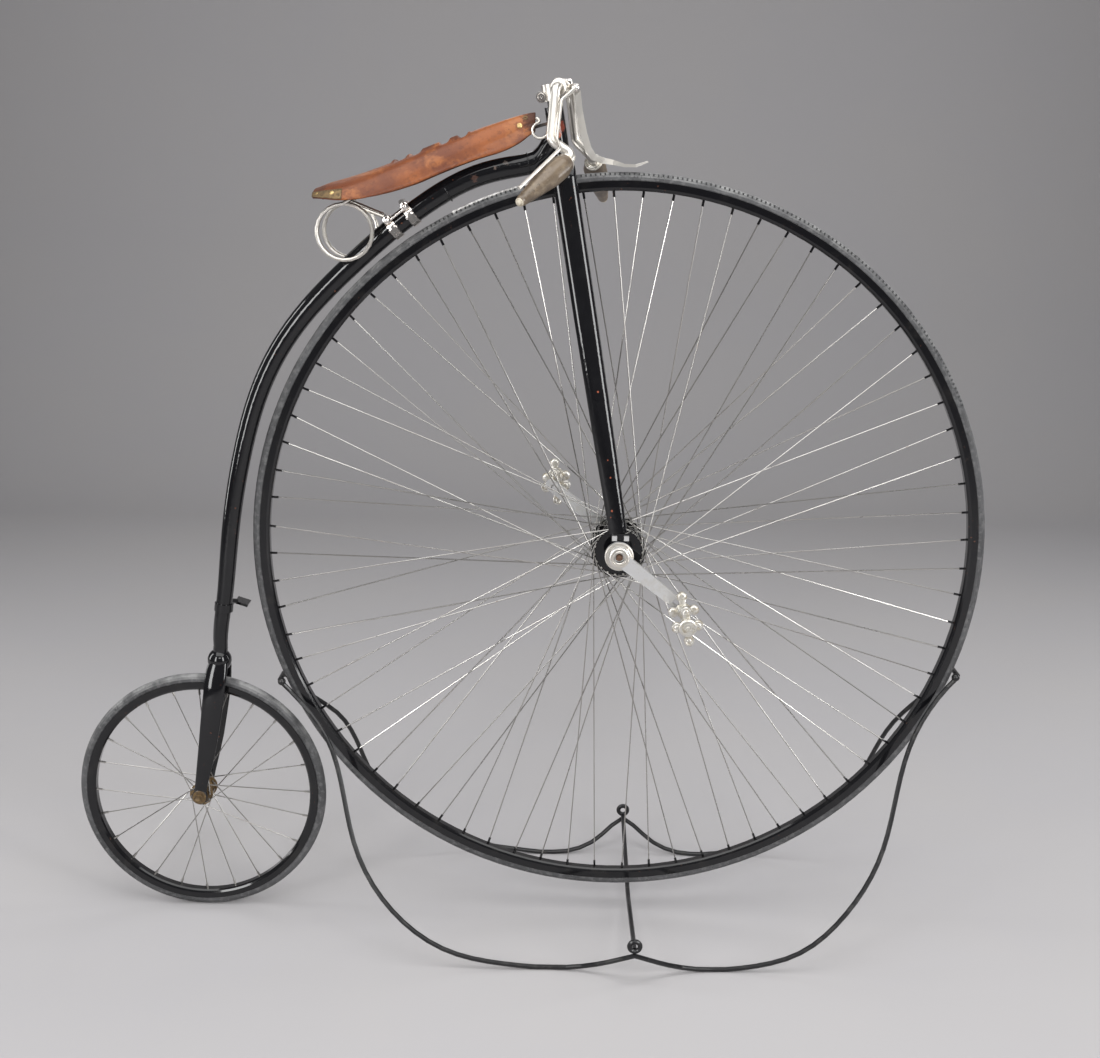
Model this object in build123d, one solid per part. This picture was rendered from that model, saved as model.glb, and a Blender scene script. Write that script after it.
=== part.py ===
from build123d import *
import math
import os
os.makedirs("parts", exist_ok=True)

# High wheel bicycle on its wire stand. Millimetres, +Z up, front wheel to +X, floor at z = 0.
# Shapes are laid out from the front axle and moved to the floor frame when they are written.

FRONT_AXLE_X = 177.0
FRONT_WHEEL_R = 686.0
WHEEL_LIFT = 56.0
FRONT_AXLE_Z = FRONT_WHEEL_R + WHEEL_LIFT
REAR_AXLE_DX = -800.0
REAR_WHEEL_R = 240.0
REAR_AXLE_DZ = REAR_WHEEL_R - FRONT_AXLE_Z

# front wheel
TYRE_R = 11.0
RIM_DEPTH = 32.5
RIM_INNER_R = FRONT_WHEEL_R - RIM_DEPTH
RIM_HALF_W = 12.5
RIM_LIP_BELOW_TOP = 15.0
RIM_HEEL_HALF_W = 7.0
FRONT_SPOKES_A_SIDE = 38
SPOKE_D = 2.4
NIPPLE_D = 4.6
NIPPLE_L = 11.0
NIPPLE_SEAT = 0.25
RIM_HOLE_DY = 3.5
TYRE_SIDES = 14
SPOKE_SIDES = 6
WIRE_SIDES = 10
BEND_STEP_DEG = 15.0

# front hub
HUB_BARREL_R = 17.0
HUB_FLANGE_R = 50.0
HUB_HOLE_R = 45.0
HUB_FLANGE_Y = 35.0
FLANGE_T = 5.0
HUB_WEB_R = 24.0
AXLE_R = 9.0
SPOKE_LIFT = 1.7
HOLE_PLAY = 0.3

# cranks and pedals
CRANK_L = 150.0
CRANK_ANGLE = -38.0
CRANK_Y = 68.0
CRANK_T = 10.0
CRANK_RING_R = 26.5
CRANK_RING_T = 8.0
CRANK_BOSS_R = 19.0
CRANK_BOSS_T = 20.0
CRANK_ROOT_R = 13.5
CRANK_TIP_R = 10.5
CRANK_TIP_OVER = 12.0
CRANK_SLOT_L = 34.0
CRANK_SLOT_W = 9.0
BOLT_RECESS_R = 9.0
BOLT_RECESS_DEPTH = 9.0
SPINDLE_R = 4.4
PEDAL_INNER_Y = 102.0
PEDAL_W = 104.0
PEDAL_PLATE_T = 4.0
PEDAL_LONG = 27.0
PEDAL_SHORT = 19.0
PEDAL_LOBE_R = 8.5
PEDAL_LOBE_T = 9.0
PEDAL_PLATE_R = 14.0
PEDAL_BARREL_R = 9.0
PEDAL_PLAY = 0.6
PEDAL_CAP_R = 16.0
PEDAL_CAP_T = 7.0
PEDAL_TILT = 8.0

# fork
RAKE_DEG = 9.6
AXIS_DX = 4.5
BLADE_TOP = 668.0
BLADE_FOOT = 40.0
BLADE_Y_TOP = 30.0
BLADE_Y_FOOT = 55.0
CROWN_DEPTH = 43.0
CROWN_T = 16.0
BEARING_Y = 55.0
BEARING_T = 15.0
BEARING_R = 20.0
BEARING_PLAY = 0.6

# head and handlebar
STEM_R = 10.0
STEM_TOP = 806.0
LUG_TOP = 828.0
SLEEVE_R = 16.5
SLEEVE_FOOT = 711.0
SLEEVE_TOP = 796.0
SLEEVE_GAP = 1.5
SLEEVE_PLAY = 0.6
BAR_TURN = 24.0
BAR_R = 8.8
GRIP_L = 146.0
LUG_W = 35.0
CLAMP_R = 14.5
PINCH_HEIGHT = 812.0
PINCH_BEHIND = 19.0
PINCH_HALF = 14.0
PINCH_R = 7.5
PIVOT_AT = (-92.0, 0.0, 828.0)
PIVOT_R = 4.0
PIVOT_HALF = 17.0
LEVER_R = 3.0

# rear wheel
REAR_RIM_DEPTH = 31.0
REAR_RIM_INNER_R = REAR_WHEEL_R - REAR_RIM_DEPTH
REAR_SPOKES_A_SIDE = 12
REAR_HUB_FLANGE_R = 22.0
REAR_HUB_HOLE_R = 18.0
REAR_HUB_FLANGE_Y = 20.0
REAR_HUB_BARREL_R = 12.0
REAR_AXLE_R = 5.0
REAR_SPOKE_D = 2.2
REAR_BLADE_Y = 33.0
SOCKET_R = 22.0
SOCKET_SEAT = 17.0

# fittings on the backbone
STEP_Z = -128.0
BAND_ZS = (584.0, 608.0)
BAND_BOLT_HALF = 19.0
HOOK_AT = (-153.0, -21.4, 755.0)
HOOK_R = 13.5
HOOK_WIRE_R = 2.6

# stand
ROD_R = 4.5
EYE_R = 9.5
DIP_Z = -707.5


def place(part):
    return Pos(FRONT_AXLE_X, 0, FRONT_AXLE_Z) * part


def save(name, shapes):
    solids = []
    for shape in shapes if isinstance(shapes, (list, tuple)) else [shapes]:
        solids.extend(shape.solids())
    body = solids[0] if len(solids) == 1 else Compound(children=solids)
    export_step(place(body), f"parts/{name}.step")


def cyl(start, end, radius):
    a, b = Vector(*start), Vector(*end)
    return Plane(origin=a, z_dir=b - a) * extrude(Circle(radius), (b - a).length)


def faceted(points, radius, sides):
    # many-sided wire, mitred at every point
    points = [Vector(*p) for p in points]
    runs = [(b - a).normalized() for a, b in zip(points, points[1:])]
    start = Plane(origin=points[0], z_dir=runs[0])
    corner = [2 * math.pi * k / sides for k in range(sides)]
    section = [start.from_local_coords(Vector(radius * math.cos(a), radius * math.sin(a), 0)) for a in corner]
    sections = [section]
    for k, run in enumerate(runs):
        after = runs[k + 1] if k + 1 < len(runs) else run
        across = (run + after).normalized()
        section = [q + run * ((points[k + 1] - q).dot(across) / run.dot(across)) for q in section]
        sections.append(section)
    walls = [section[::-1] for section in sections[:1]] + [section]
    for low, high in zip(sections, sections[1:]):
        for k in range(sides):
            walls.append([low[k - 1], low[k], high[k], high[k - 1]])
    return Solid(Shell([Face(Wire.make_polygon(wall)) for wall in walls]))


def bent(points, radius, bend, sides=0):
    # round or many-sided wire along straight runs, its corners rounded to the bend radius where there is room
    corners = [Vector(*p) for p in points]
    edges, start, stops = [], corners[0], [corners[0]]
    for a, b, c in zip(corners, corners[1:], corners[2:]):
        u, v = (a - b).normalized(), (c - b).normalized()
        half = math.acos(max(-1.0, min(1.0, u.dot(v)))) / 2
        if half > math.radians(89.5):
            continue
        run = min(bend / math.tan(half), 0.49 * min((a - b).length, (c - b).length))
        middle = (u + v).normalized()
        centre = b + middle * (run / math.cos(half))
        first, last = b + u * run, b + v * run
        arc = ThreePointArc(first, centre - middle * run * math.tan(half), last)
        edges += [Line(start, first), arc]
        steps = max(1, math.ceil((180 - 2 * math.degrees(half)) / BEND_STEP_DEG))
        stops += [arc @ (k / steps) for k in range(steps + 1)]
        start = last
    if sides:
        return faceted(stops + [corners[-1]], radius, sides)
    path = Wire(edges + [Line(start, corners[-1])])
    return sweep(Plane(origin=corners[0], z_dir=corners[1] - corners[0]) * Circle(radius), path=path)


def curved(points, radius, sides, steps):
    # many-sided wire along a smooth curve through the points
    path = Spline(*points)
    return faceted([path @ (k / steps) for k in range(steps + 1)], radius, sides)


def axis_point(height, ahead=0.0, side=0.0):
    lean = math.tan(math.radians(RAKE_DEG))
    return (AXIS_DX - lean * height + ahead, side, height)


AXIS_DIR = (-math.sin(math.radians(RAKE_DEG)), 0, math.cos(math.radians(RAKE_DEG)))


def ring(sections):
    return revolve(sections, axis=Axis.Y)


def tyre_section(outer_r):
    return Pos(outer_r - TYRE_R, 0, 0) * RegularPolygon(TYRE_R, TYRE_SIDES)


def rim(outer_r, inner_r):
    # hollow felloe rim: flat heel, rounded flanks, groove that holds the tyre
    lip = outer_r - RIM_LIP_BELOW_TOP
    flank = ((inner_r, RIM_HEEL_HALF_W), (inner_r + 2.5, 9.8), (inner_r + 6, 11.6), (lip, RIM_HALF_W))
    outline = [*flank, *[(r, -y) for r, y in reversed(flank)]]
    return ring(make_face(Polyline(*outline, close=True)) - tyre_section(outer_r))


def laced(count, side, hole_r, flange_y, rim_r, spoke_d, phase):
    # spokes of one flange: every other one leaves forwards from the outer face, the rest backwards
    spokes, nipples = [], []
    half = FLANGE_T / 2
    swing = math.degrees(math.acos(hole_r / rim_r))
    for k in range(count):
        ahead = 1 if k % 2 == 0 else -1
        rim_a = math.radians(phase + 360.0 * k / count)
        hub_a = rim_a - ahead * math.radians(swing)
        lift = half + spoke_d / 2 + (SPOKE_LIFT if ahead > 0 else 0.4)
        y_hub = side * (flange_y + ahead * lift)
        y_head = side * (flange_y - ahead * half)
        y_rim = side * RIM_HOLE_DY
        hub = Vector(hole_r * math.cos(hub_a), y_hub, hole_r * math.sin(hub_a))
        seat_r = rim_r - NIPPLE_SEAT
        end = Vector(seat_r * math.cos(rim_a), y_rim, seat_r * math.sin(rim_a))
        along = (end - hub).normalized()
        neck = end - along * NIPPLE_L
        hole = Vector(hub.X, y_head, hub.Z)
        spokes.append(faceted([hole, hub, neck], spoke_d / 2, SPOKE_SIDES))
        nipples.append(faceted([neck, end], NIPPLE_D / 2, SPOKE_SIDES))
    return spokes, nipples


def drilled_hub(barrel_r, web_r, flange_r, hole_r, flange_y, bore_r, count, spoke_d, phases, rim_r):
    y1, y2 = flange_y - FLANGE_T / 2, flange_y + FLANGE_T / 2
    profile = [(bore_r, -y2), (flange_r, -y2), (flange_r, -y1), (web_r, -y1), (barrel_r, -y1 + 8)]
    profile += [(barrel_r, y1 - 8), (web_r, y1), (flange_r, y1), (flange_r, y2), (bore_r, y2)]
    body = ring(make_face(Polyline(*profile, close=True)))
    swing = math.degrees(math.acos(hole_r / rim_r))
    holes = []
    for side, phase in phases:
        for k in range(count):
            ahead = 1 if k % 2 == 0 else -1
            a = math.radians(phase + 360.0 * k / count - ahead * swing)
            x, z = hole_r * math.cos(a), hole_r * math.sin(a)
            holes.append(cyl((x, side * (y1 - 1), z), (x, side * (y2 + 1), z), spoke_d / 2 + HOLE_PLAY))
    return body - holes


# front wheel
FRONT_PHASES = ((-1, 91.9), (1, 91.9 + 180.0 / FRONT_SPOKES_A_SIDE))
save("front_tyre", ring(tyre_section(FRONT_WHEEL_R)))
save("front_rim", rim(FRONT_WHEEL_R, RIM_INNER_R))
front_nipples = []
for side, phase in FRONT_PHASES:
    spokes, nipples = laced(FRONT_SPOKES_A_SIDE, side, HUB_HOLE_R, HUB_FLANGE_Y, RIM_INNER_R, SPOKE_D, phase)
    front_nipples += nipples
    save("front_spokes_right" if side < 0 else "front_spokes_left", spokes)
save("front_nipples", front_nipples)
save("front_hub", drilled_hub(HUB_BARREL_R, HUB_WEB_R, HUB_FLANGE_R, HUB_HOLE_R, HUB_FLANGE_Y, AXLE_R,
                              FRONT_SPOKES_A_SIDE, SPOKE_D, FRONT_PHASES, RIM_INNER_R))
AXLE_HALF = CRANK_Y + CRANK_BOSS_T - BOLT_RECESS_DEPTH
save("front_axle", cyl((0, -AXLE_HALF, 0), (0, AXLE_HALF, 0), AXLE_R))


def crank(side):
    turn = math.radians(CRANK_ANGLE if side < 0 else CRANK_ANGLE + 180)
    ux, uz = math.cos(turn), math.sin(turn)
    y0 = side * CRANK_Y
    y_arm = side * (CRANK_Y + CRANK_BOSS_T - CRANK_T)
    y_out = side * (CRANK_Y + CRANK_BOSS_T)
    boss = cyl((0, y0, 0), (0, y_out, 0), CRANK_BOSS_R)
    boss += cyl((0, y0, 0), (0, y0 + side * CRANK_RING_T, 0), CRANK_RING_R)
    plane = Plane(origin=(0, y_arm, 0), x_dir=(ux, 0, uz), z_dir=(0, side, 0))
    reach = CRANK_L + CRANK_TIP_OVER
    outline = make_hull([Pos(10, 0) * Circle(CRANK_ROOT_R).edge(), Pos(reach, 0) * Circle(CRANK_TIP_R).edge()])
    slot = Pos(CRANK_L - 6, 0) * SlotOverall(CRANK_SLOT_L, CRANK_SLOT_W)
    arm = plane * extrude(outline - slot, CRANK_T)
    recess = cyl((0, y_out - side * BOLT_RECESS_DEPTH, 0), (0, y_out + side, 0), BOLT_RECESS_R)
    shaft = cyl((0, y0 - side, 0), (0, side * AXLE_HALF, 0), AXLE_R)
    return boss + arm - recess - shaft


def pedal(side):
    turn = math.radians(CRANK_ANGLE if side < 0 else CRANK_ANGLE + 180)
    px, pz = CRANK_L * math.cos(turn), CRANK_L * math.sin(turn)
    y_in, y_out = side * PEDAL_INNER_Y, side * (PEDAL_INNER_Y + PEDAL_W)
    body = cyl((px, y_in, pz), (px, y_out, pz), PEDAL_BARREL_R)
    for y, inward in ((y_in, side), (y_out, -side)):
        body += cyl((px, y, pz), (px, y + inward * PEDAL_PLATE_T, pz), PEDAL_PLATE_R)
        for k in range(4):
            a = math.radians(PEDAL_TILT + 90.0 * k)
            reach = PEDAL_SHORT if k % 2 == 0 else PEDAL_LONG
            ux, uz = math.cos(a), math.sin(a)
            lobe = (px + reach * ux, y, pz + reach * uz)
            body += cyl(lobe, (lobe[0], y + inward * PEDAL_LOBE_T, lobe[2]), PEDAL_LOBE_R)
            web = Plane(origin=(px, y, pz), x_dir=(ux, 0, uz), z_dir=(0, inward, 0))
            body += web * extrude(Pos(reach / 2, 0) * Rectangle(reach, 2 * PEDAL_LOBE_R - 4), PEDAL_PLATE_T)
    body -= cyl((px, y_in - side, pz), (px, y_out - side * PEDAL_PLATE_T, pz), SPINDLE_R + PEDAL_PLAY)
    body += cyl((px, y_out, pz), (px, y_out + side * PEDAL_CAP_T, pz), PEDAL_CAP_R)
    y_root = side * (CRANK_Y + CRANK_BOSS_T - CRANK_T - 6)
    y_tip = y_out - side * (PEDAL_PLATE_T + 4)
    spindle = cyl((px, y_root, pz), (px, y_tip, pz), SPINDLE_R)
    y_face = side * (CRANK_Y + CRANK_BOSS_T)
    spindle += cyl((px, y_root, pz), (px, y_root + side * 6, pz), 8.5)
    spindle += cyl((px, y_face, pz), (px, y_face + side * 5, pz), 8.5)
    return body, spindle


for side, name in ((-1, "right"), (1, "left")):
    save(f"crank_{name}", crank(side))
    cage, spindle = pedal(side)
    save(f"pedal_{name}", cage)
    save(f"pedal_spindle_{name}", spindle)


# fork: two tapered oval blades, arched crown, stem
def oval(height, side, half_x, half_y):
    lean = (height - BLADE_FOOT) / (BLADE_TOP - BLADE_FOOT)
    y = side * (BLADE_Y_FOOT + (BLADE_Y_TOP - BLADE_Y_FOOT) * lean)
    return Plane(origin=axis_point(height, side=y), z_dir=AXIS_DIR) * Ellipse(half_x, half_y)


BLADE_TABLE = ((BLADE_FOOT, 16.5, 6.5), (180.0, 19.0, 7.5), (420.0, 21.0, 8.0), (BLADE_TOP, 21.5, 8.0))
for side, name in ((-1, "right"), (1, "left")):
    save(f"fork_blade_{name}", loft([oval(h, side, hx, hy) for h, hx, hy in BLADE_TABLE], ruled=True))

arch_top = Vector(*axis_point(BLADE_TOP)) + Vector(*AXIS_DIR) * BLADE_Y_TOP
arch = ThreePointArc(axis_point(BLADE_TOP, side=-BLADE_Y_TOP), arch_top, axis_point(BLADE_TOP, side=BLADE_Y_TOP))
arch_face = Plane(origin=arch @ 0, x_dir=(math.cos(math.radians(RAKE_DEG)), 0, math.sin(math.radians(RAKE_DEG))),
                  z_dir=arch % 0) * Ellipse(CROWN_DEPTH / 2, CROWN_T / 2)
crown = sweep(arch_face, path=arch)
crown += cyl(arch_top, axis_point(SLEEVE_FOOT - SLEEVE_GAP), SLEEVE_R)
crown += cyl(arch_top, axis_point(STEM_TOP), STEM_R)
save("fork_crown_and_stem", crown)

for side, name in ((-1, "right"), (1, "left")):
    y1, y2 = side * (BEARING_Y - BEARING_T / 2), side * (BEARING_Y + BEARING_T / 2)
    block = cyl((0, y1, 0), (0, y2, 0), BEARING_R)
    block += Pos(2, side * BEARING_Y, 28) * Box(34, BEARING_T, 24)
    block -= cyl((0, y1 - side, 0), (0, y2 + side, 0), AXLE_R + BEARING_PLAY)
    foot = Plane(origin=axis_point(BLADE_FOOT, side=side * BEARING_Y), z_dir=AXIS_DIR) * Box(60, 60, 60,
                                                                      align=(Align.CENTER, Align.CENTER, Align.MIN))
    block -= foot
    bolts = [Pos(x, side * (BEARING_Y + 10), 32) * Box(9, 5, 9) for x in (-9, 13)]
    save(f"bearing_block_{name}", block)
    save(f"bearing_bolts_{name}", bolts)


# handlebar lug and bar, laid out square to the axis and then turned about it
def turned(outward, ahead, height, side):
    turn = math.radians(BAR_TURN)
    base = axis_point(LUG_TOP)[0]
    x = base + side * outward * math.sin(turn) + ahead * math.cos(turn)
    y = side * outward * math.cos(turn) - ahead * math.sin(turn)
    return (x, y, height)


CLAMP_AHEAD = 22.7
BAR_RISE = 1.0
BAR_PATH = ((0, CLAMP_AHEAD, LUG_TOP + BAR_RISE), (30, CLAMP_AHEAD, LUG_TOP + BAR_RISE), (55, 26, 738), (42.3, 56, 717.4),
            (46.6, 61.2, 708.7), (56.9, 58.7, 703.1))
BAR_BEND = 15.0
BAR_SIDES = 18
SEAT = 0.05
GRIP_DIR = (0.859, -0.212, -0.466)
GRIP_TABLE = ((0.0, 9.5), (4.0, 15.5), (22.0, 20.5), (55.0, 20.5), (110.0, 13.5), (140.0, 9.5), (GRIP_L, 6.5))

bar_line = []
for side, name in ((-1, "right"), (1, "left")):
    points = [turned(*corner, side) for corner in BAR_PATH]
    tip = Vector(*turned(*[a + GRIP_L * b for a, b in zip(BAR_PATH[-1], GRIP_DIR)], side))
    along = (tip - Vector(*points[-1])).normalized()
    bar_line = points[::-1] if side < 0 else bar_line + points[1:]
    outline = Polyline(*[(0, 0)], *[(r, s) for s, r in GRIP_TABLE], (0, GRIP_L), close=True)
    grip = revolve(make_face(Plane.XZ * outline), axis=Axis.Z)
    save(f"grip_{name}", Plane(origin=Vector(*points[-1]) + along * SEAT, z_dir=along) * grip)

bar = bent(bar_line, BAR_R, BAR_BEND, BAR_SIDES)
save("handlebar", bar)
lug_turn = Pos(*axis_point(LUG_TOP)) * Rot(0, 0, -BAR_TURN)
lug = lug_turn * (Pos(CLAMP_AHEAD, 0, BAR_RISE) * Rot(90, 0, 0) * Cylinder(CLAMP_R, LUG_W))
lug += cyl(axis_point(STEM_TOP), axis_point(LUG_TOP + 6), SLEEVE_R)
for side in (-1, 1):
    lug += Pos(PIVOT_AT[0] - 8, side * 9.5, PIVOT_AT[2]) * Box(26, 4, 14) - bar
pinch_x, _, pinch_z = axis_point(PINCH_HEIGHT, ahead=-PINCH_BEHIND)
lug += cyl((pinch_x, -PINCH_HALF, pinch_z), (pinch_x, PINCH_HALF, pinch_z), PINCH_R)
lug -= lug_turn * (Pos(CLAMP_AHEAD, 0, BAR_RISE) * Rot(90, 0, 0) * Cylinder(BAR_R, LUG_W + 20))
lug += cyl((PIVOT_AT[0], -PIVOT_HALF, PIVOT_AT[2]), (PIVOT_AT[0], 11.5, PIVOT_AT[2]), PIVOT_R)
save("handlebar_lug", lug)

# spoon brake over the tyre
# columns x, z, thickness seen from the side, width across
BRAKE_ARM = ((-89, PIVOT_AT[2] - PIVOT_R, 11, 9), (-85, 790, 12, 9), (-77, 752, 12.5, 9), (-68, 724, 12.5, 10),
             (-58, 710.5, 12, 12), (-42, 705, 11, 16), (-24, 702, 9, 22), (-4, 697, 6, 24), (16, 696.5, 5, 24),
             (38, 704, 3, 20))
arm_line = Spline(*[(x, 0, z) for x, z, t, w in BRAKE_ARM])
plates = []
for x, z, thick, wide in BRAKE_ARM:
    run = arm_line % arm_line.param_at_point(Vector(x, 0, z))
    plates.append(Plane(origin=(x, 0, z), x_dir=(0, 1, 0), z_dir=run) * Rectangle(wide, thick))
save("brake_spoon", loft(plates, ruled=True))

# backbone: tapered tube that follows the wheel, columns x, z, radius
BACKBONE = ((-163, 701, 19.5), (-215, 689.5, 19.5), (-270, 674, 19.5), (-356, 627, 19.3), (-427, 573.5, 19.0),
            (-500, 509, 18.8), (-575, 432.5, 18.5), (-632, 353, 18.2), (-673, 264, 17.8), (-700, 171, 17.4),
            (-719.5, 77, 17.0), (-733, -19.3, 16.3), (-745, -116.7, 15.2), (-755.5, -212, 13.4))
NECK_TABLE = ((-152, 712, 18, 22), (-143, 724.5, 15, 24.5), (-132, 737, 13.5, 22.5), (-120, 740, 12, 22))
backbone_line = Spline(*[(x, 0, z) for x, z, r in BACKBONE])
sections = []
for x, z, r in BACKBONE:
    t = backbone_line.param_at_point(Vector(x, 0, z))
    sections.append(Plane(origin=(x, 0, z), z_dir=backbone_line % t) * Circle(r))
backbone = loft(sections)
neck = cyl(axis_point(SLEEVE_FOOT), axis_point(SLEEVE_TOP), SLEEVE_R)
neck += loft([sections[0]] + [Plane(origin=(x, 0, z), x_dir=(0, 1, 0), z_dir=(1, 0, 0.1)) * Ellipse(half_y, half_z)
                              for x, z, half_y, half_z in NECK_TABLE])
neck -= cyl(axis_point(SLEEVE_FOOT - 5), axis_point(SLEEVE_TOP + 5), STEM_R + SLEEVE_PLAY)
save("backbone", backbone)
save("neck", neck)

# rear fork
tube_end = Vector(BACKBONE[-1][0], 0, BACKBONE[-1][1])
end_dir = backbone_line % 1
socket_at = tube_end + end_dir * SOCKET_SEAT
above = Plane(origin=tube_end, z_dir=end_dir * -1) * Box(80, 80, 60, align=(Align.CENTER, Align.CENTER, Align.MIN))
socket = Pos(socket_at) * Sphere(SOCKET_R) - above
rear_blades = []
for side in (-1, 1):
    table = ((-762, 15, -238, 15, 8), (-764, REAR_BLADE_Y - 4, -285, 21, 6.5), (-780, REAR_BLADE_Y, -395, 18, 6),
             (REAR_AXLE_DX, REAR_BLADE_Y, REAR_AXLE_DZ + 10, 12, 5))
    rear_blades.append(loft([Plane(origin=(x, side * y, z), z_dir=(0.1, 0, 1)) * Ellipse(a, b)
                             for x, y, z, a, b in table], ruled=True))
    eye = cyl((REAR_AXLE_DX, side * (REAR_BLADE_Y - 5), REAR_AXLE_DZ),
              (REAR_AXLE_DX, side * (REAR_BLADE_Y + 5), REAR_AXLE_DZ), 15)
    rear_blades[-1] = rear_blades[-1] + eye
    rear_blades[-1] -= cyl((REAR_AXLE_DX, side * 20, REAR_AXLE_DZ), (REAR_AXLE_DX, side * 50, REAR_AXLE_DZ), REAR_AXLE_R)
save("rear_fork", socket + rear_blades[0] + rear_blades[1])
AXLE_END = REAR_BLADE_Y + 20
axle = cyl((REAR_AXLE_DX, -AXLE_END, REAR_AXLE_DZ), (REAR_AXLE_DX, AXLE_END, REAR_AXLE_DZ), REAR_AXLE_R)
for side in (-1, 1):
    y = side * (REAR_BLADE_Y + 5)
    axle += Pos(REAR_AXLE_DX, y + side * 4, REAR_AXLE_DZ) * Rot(90, 0, 0) * extrude(RegularPolygon(9.5, 6), 4, both=True)
save("rear_axle", axle)

# rear wheel
REAR_PHASES = ((-1, 90.0), (1, 90.0 + 180.0 / REAR_SPOKES_A_SIDE))
rear_at = Pos(REAR_AXLE_DX, 0, REAR_AXLE_DZ)
save("rear_tyre", rear_at * ring(tyre_section(REAR_WHEEL_R)))
save("rear_rim", rear_at * rim(REAR_WHEEL_R, REAR_RIM_INNER_R))
rear_spokes = []
for side, phase in REAR_PHASES:
    spokes, nipples = laced(REAR_SPOKES_A_SIDE, side, REAR_HUB_HOLE_R, REAR_HUB_FLANGE_Y, REAR_RIM_INNER_R,
                            REAR_SPOKE_D, phase)
    rear_spokes += [rear_at * (s + n) for s, n in zip(spokes, nipples)]
save("rear_spokes", rear_spokes)
rear_hub = drilled_hub(REAR_HUB_BARREL_R, 16.0, REAR_HUB_FLANGE_R, REAR_HUB_HOLE_R, REAR_HUB_FLANGE_Y,
                       REAR_AXLE_R + 0.5, REAR_SPOKES_A_SIDE, REAR_SPOKE_D, REAR_PHASES, REAR_RIM_INNER_R)
save("rear_hub", rear_at * rear_hub)

# mounting step on the left side
def on_backbone(height):
    low, high = 0.0, 1.0
    for _ in range(40):
        mid = (low + high) / 2
        low, high = (mid, high) if (backbone_line @ mid).Z > height else (low, mid)
    rows = [(z, r) for x, z, r in BACKBONE]
    radius = rows[-1][1]
    for (z1, r1), (z2, r2) in zip(rows, rows[1:]):
        if z2 <= height <= z1:
            radius = r2 + (r1 - r2) * (height - z2) / (z1 - z2)
    return backbone_line @ mid, (backbone_line % mid).normalized(), radius


def band_on(height, length, thick):
    at, run, radius = on_backbone(height)
    outer = cyl(at - run * length / 2, at + run * length / 2, radius + thick)
    return outer - backbone, at, run, radius + thick


step_band, step_at, step_run, step_r = band_on(STEP_Z, 15.0, 2.8)
save("step_band", step_band)
arm = bent([step_at + Vector(0, step_r - 1, 0), step_at + Vector(4, 34, 2), step_at + Vector(12, 52, -4)], 5.0, 20.0)
arm -= cyl(step_at - step_run * 20, step_at + step_run * 20, step_r)
arm += Pos(-724, 66, -137) * Rot(0, 18, 0) * Box(26, 34, 5)
save("step", arm)

CANTLE_AT = (-497, 0, 640.7)
# saddle: leather top over the spring irons, columns x, ridge z, half width, edge drop
SADDLE = ((-164, 782, 14, 26), (-200, 776, 24, 44), (-260, 757, 34, 42), (-330, 731, 42, 44), (-410, 701, 60, 44),
          (-470, 678, 78, 38), (-520, 659, 76, 26), (-548, 648, 58, 14))
SADDLE_T = 4.5
leather = []
for x, z, half, drop in SADDLE:
    outer = ThreePointArc((-half, z - drop), (0, z), (half, z - drop))
    inner = ThreePointArc((half - SADDLE_T, z - drop), (0, z - SADDLE_T), (-half + SADDLE_T, z - drop))
    edge = Polyline((half, z - drop), (half - SADDLE_T, z - drop))
    edge2 = Polyline((-half + SADDLE_T, z - drop), (-half, z - drop))
    face = make_face([outer, edge, inner, edge2])
    leather.append(Plane(origin=(x, 0, 0), x_dir=(0, 1, 0), z_dir=(1, 0, 0)) * face)
save("saddle_leather", loft(leather))
plate_line = Spline((-138, 0, 768), (-170, 0, 758), (-215, 0, 741), (-300, 0, 712), (-400, 0, 678), (-500, 0, 645), (-540, 0, 634))
plate_face = Plane(origin=plate_line @ 0, x_dir=(0, 1, 0), z_dir=plate_line % 0) * Rectangle(22, 5)
plate = sweep(plate_face, path=plate_line) - neck
plate = max(plate.solids(), key=lambda piece: piece.volume)
plate += Pos(*CANTLE_AT) * Rot(0, -14, 0) * Box(34, 116, 4)
save("saddle_plate", plate)

# chrome bands that hold the springs to the backbone
bands = []
band_bolt_at = None
for height in BAND_ZS:
    band, at, run, radius = band_on(height, 15.0, 3.0)
    up = Vector(run.Z, 0, -run.X)
    c = at + up * (radius + 4)
    band += cyl((c.X, -BAND_BOLT_HALF, c.Z), (c.X, BAND_BOLT_HALF, c.Z), 5.0)
    band_bolt_at = band_bolt_at or (c.X, 0, c.Z)
    for side in (-1, 1):
        cheek = Plane(origin=at - up * 9 + Vector(0, side * radius, 0), x_dir=run, z_dir=(0, -1, 0))
        band += cheek * Box(15, 14, 7) - backbone
    bands.append(band)
save("spring_bands", bands)

# rear saddle springs: double coils of round wire
COIL_AT = (-497.0, 577.0)
COIL_R = 49.0
COIL_STEPS = 44
COIL_FROM = 92.0
COIL_TO = 788.0
WIRE_R = 3.3
springs = []
for side, name in ((-1, "right"), (1, "left")):
    corners = [(-484, side * 47, CANTLE_AT[2] - 1.5 - WIRE_R)]
    for k in range(COIL_STEPS + 1):
        a = math.radians(COIL_FROM + (COIL_TO - COIL_FROM) * k / COIL_STEPS)
        y = side * (47 - 15.0 * k / COIL_STEPS)
        corners.append((COIL_AT[0] + COIL_R * math.cos(a), y, COIL_AT[1] + COIL_R * math.sin(a)))
    corners.append((band_bolt_at[0], side * (BAND_BOLT_HALF + WIRE_R + 0.02), band_bolt_at[2]))
    springs.append(faceted(corners, WIRE_R, WIRE_SIDES))
save("saddle_springs", springs)

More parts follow.
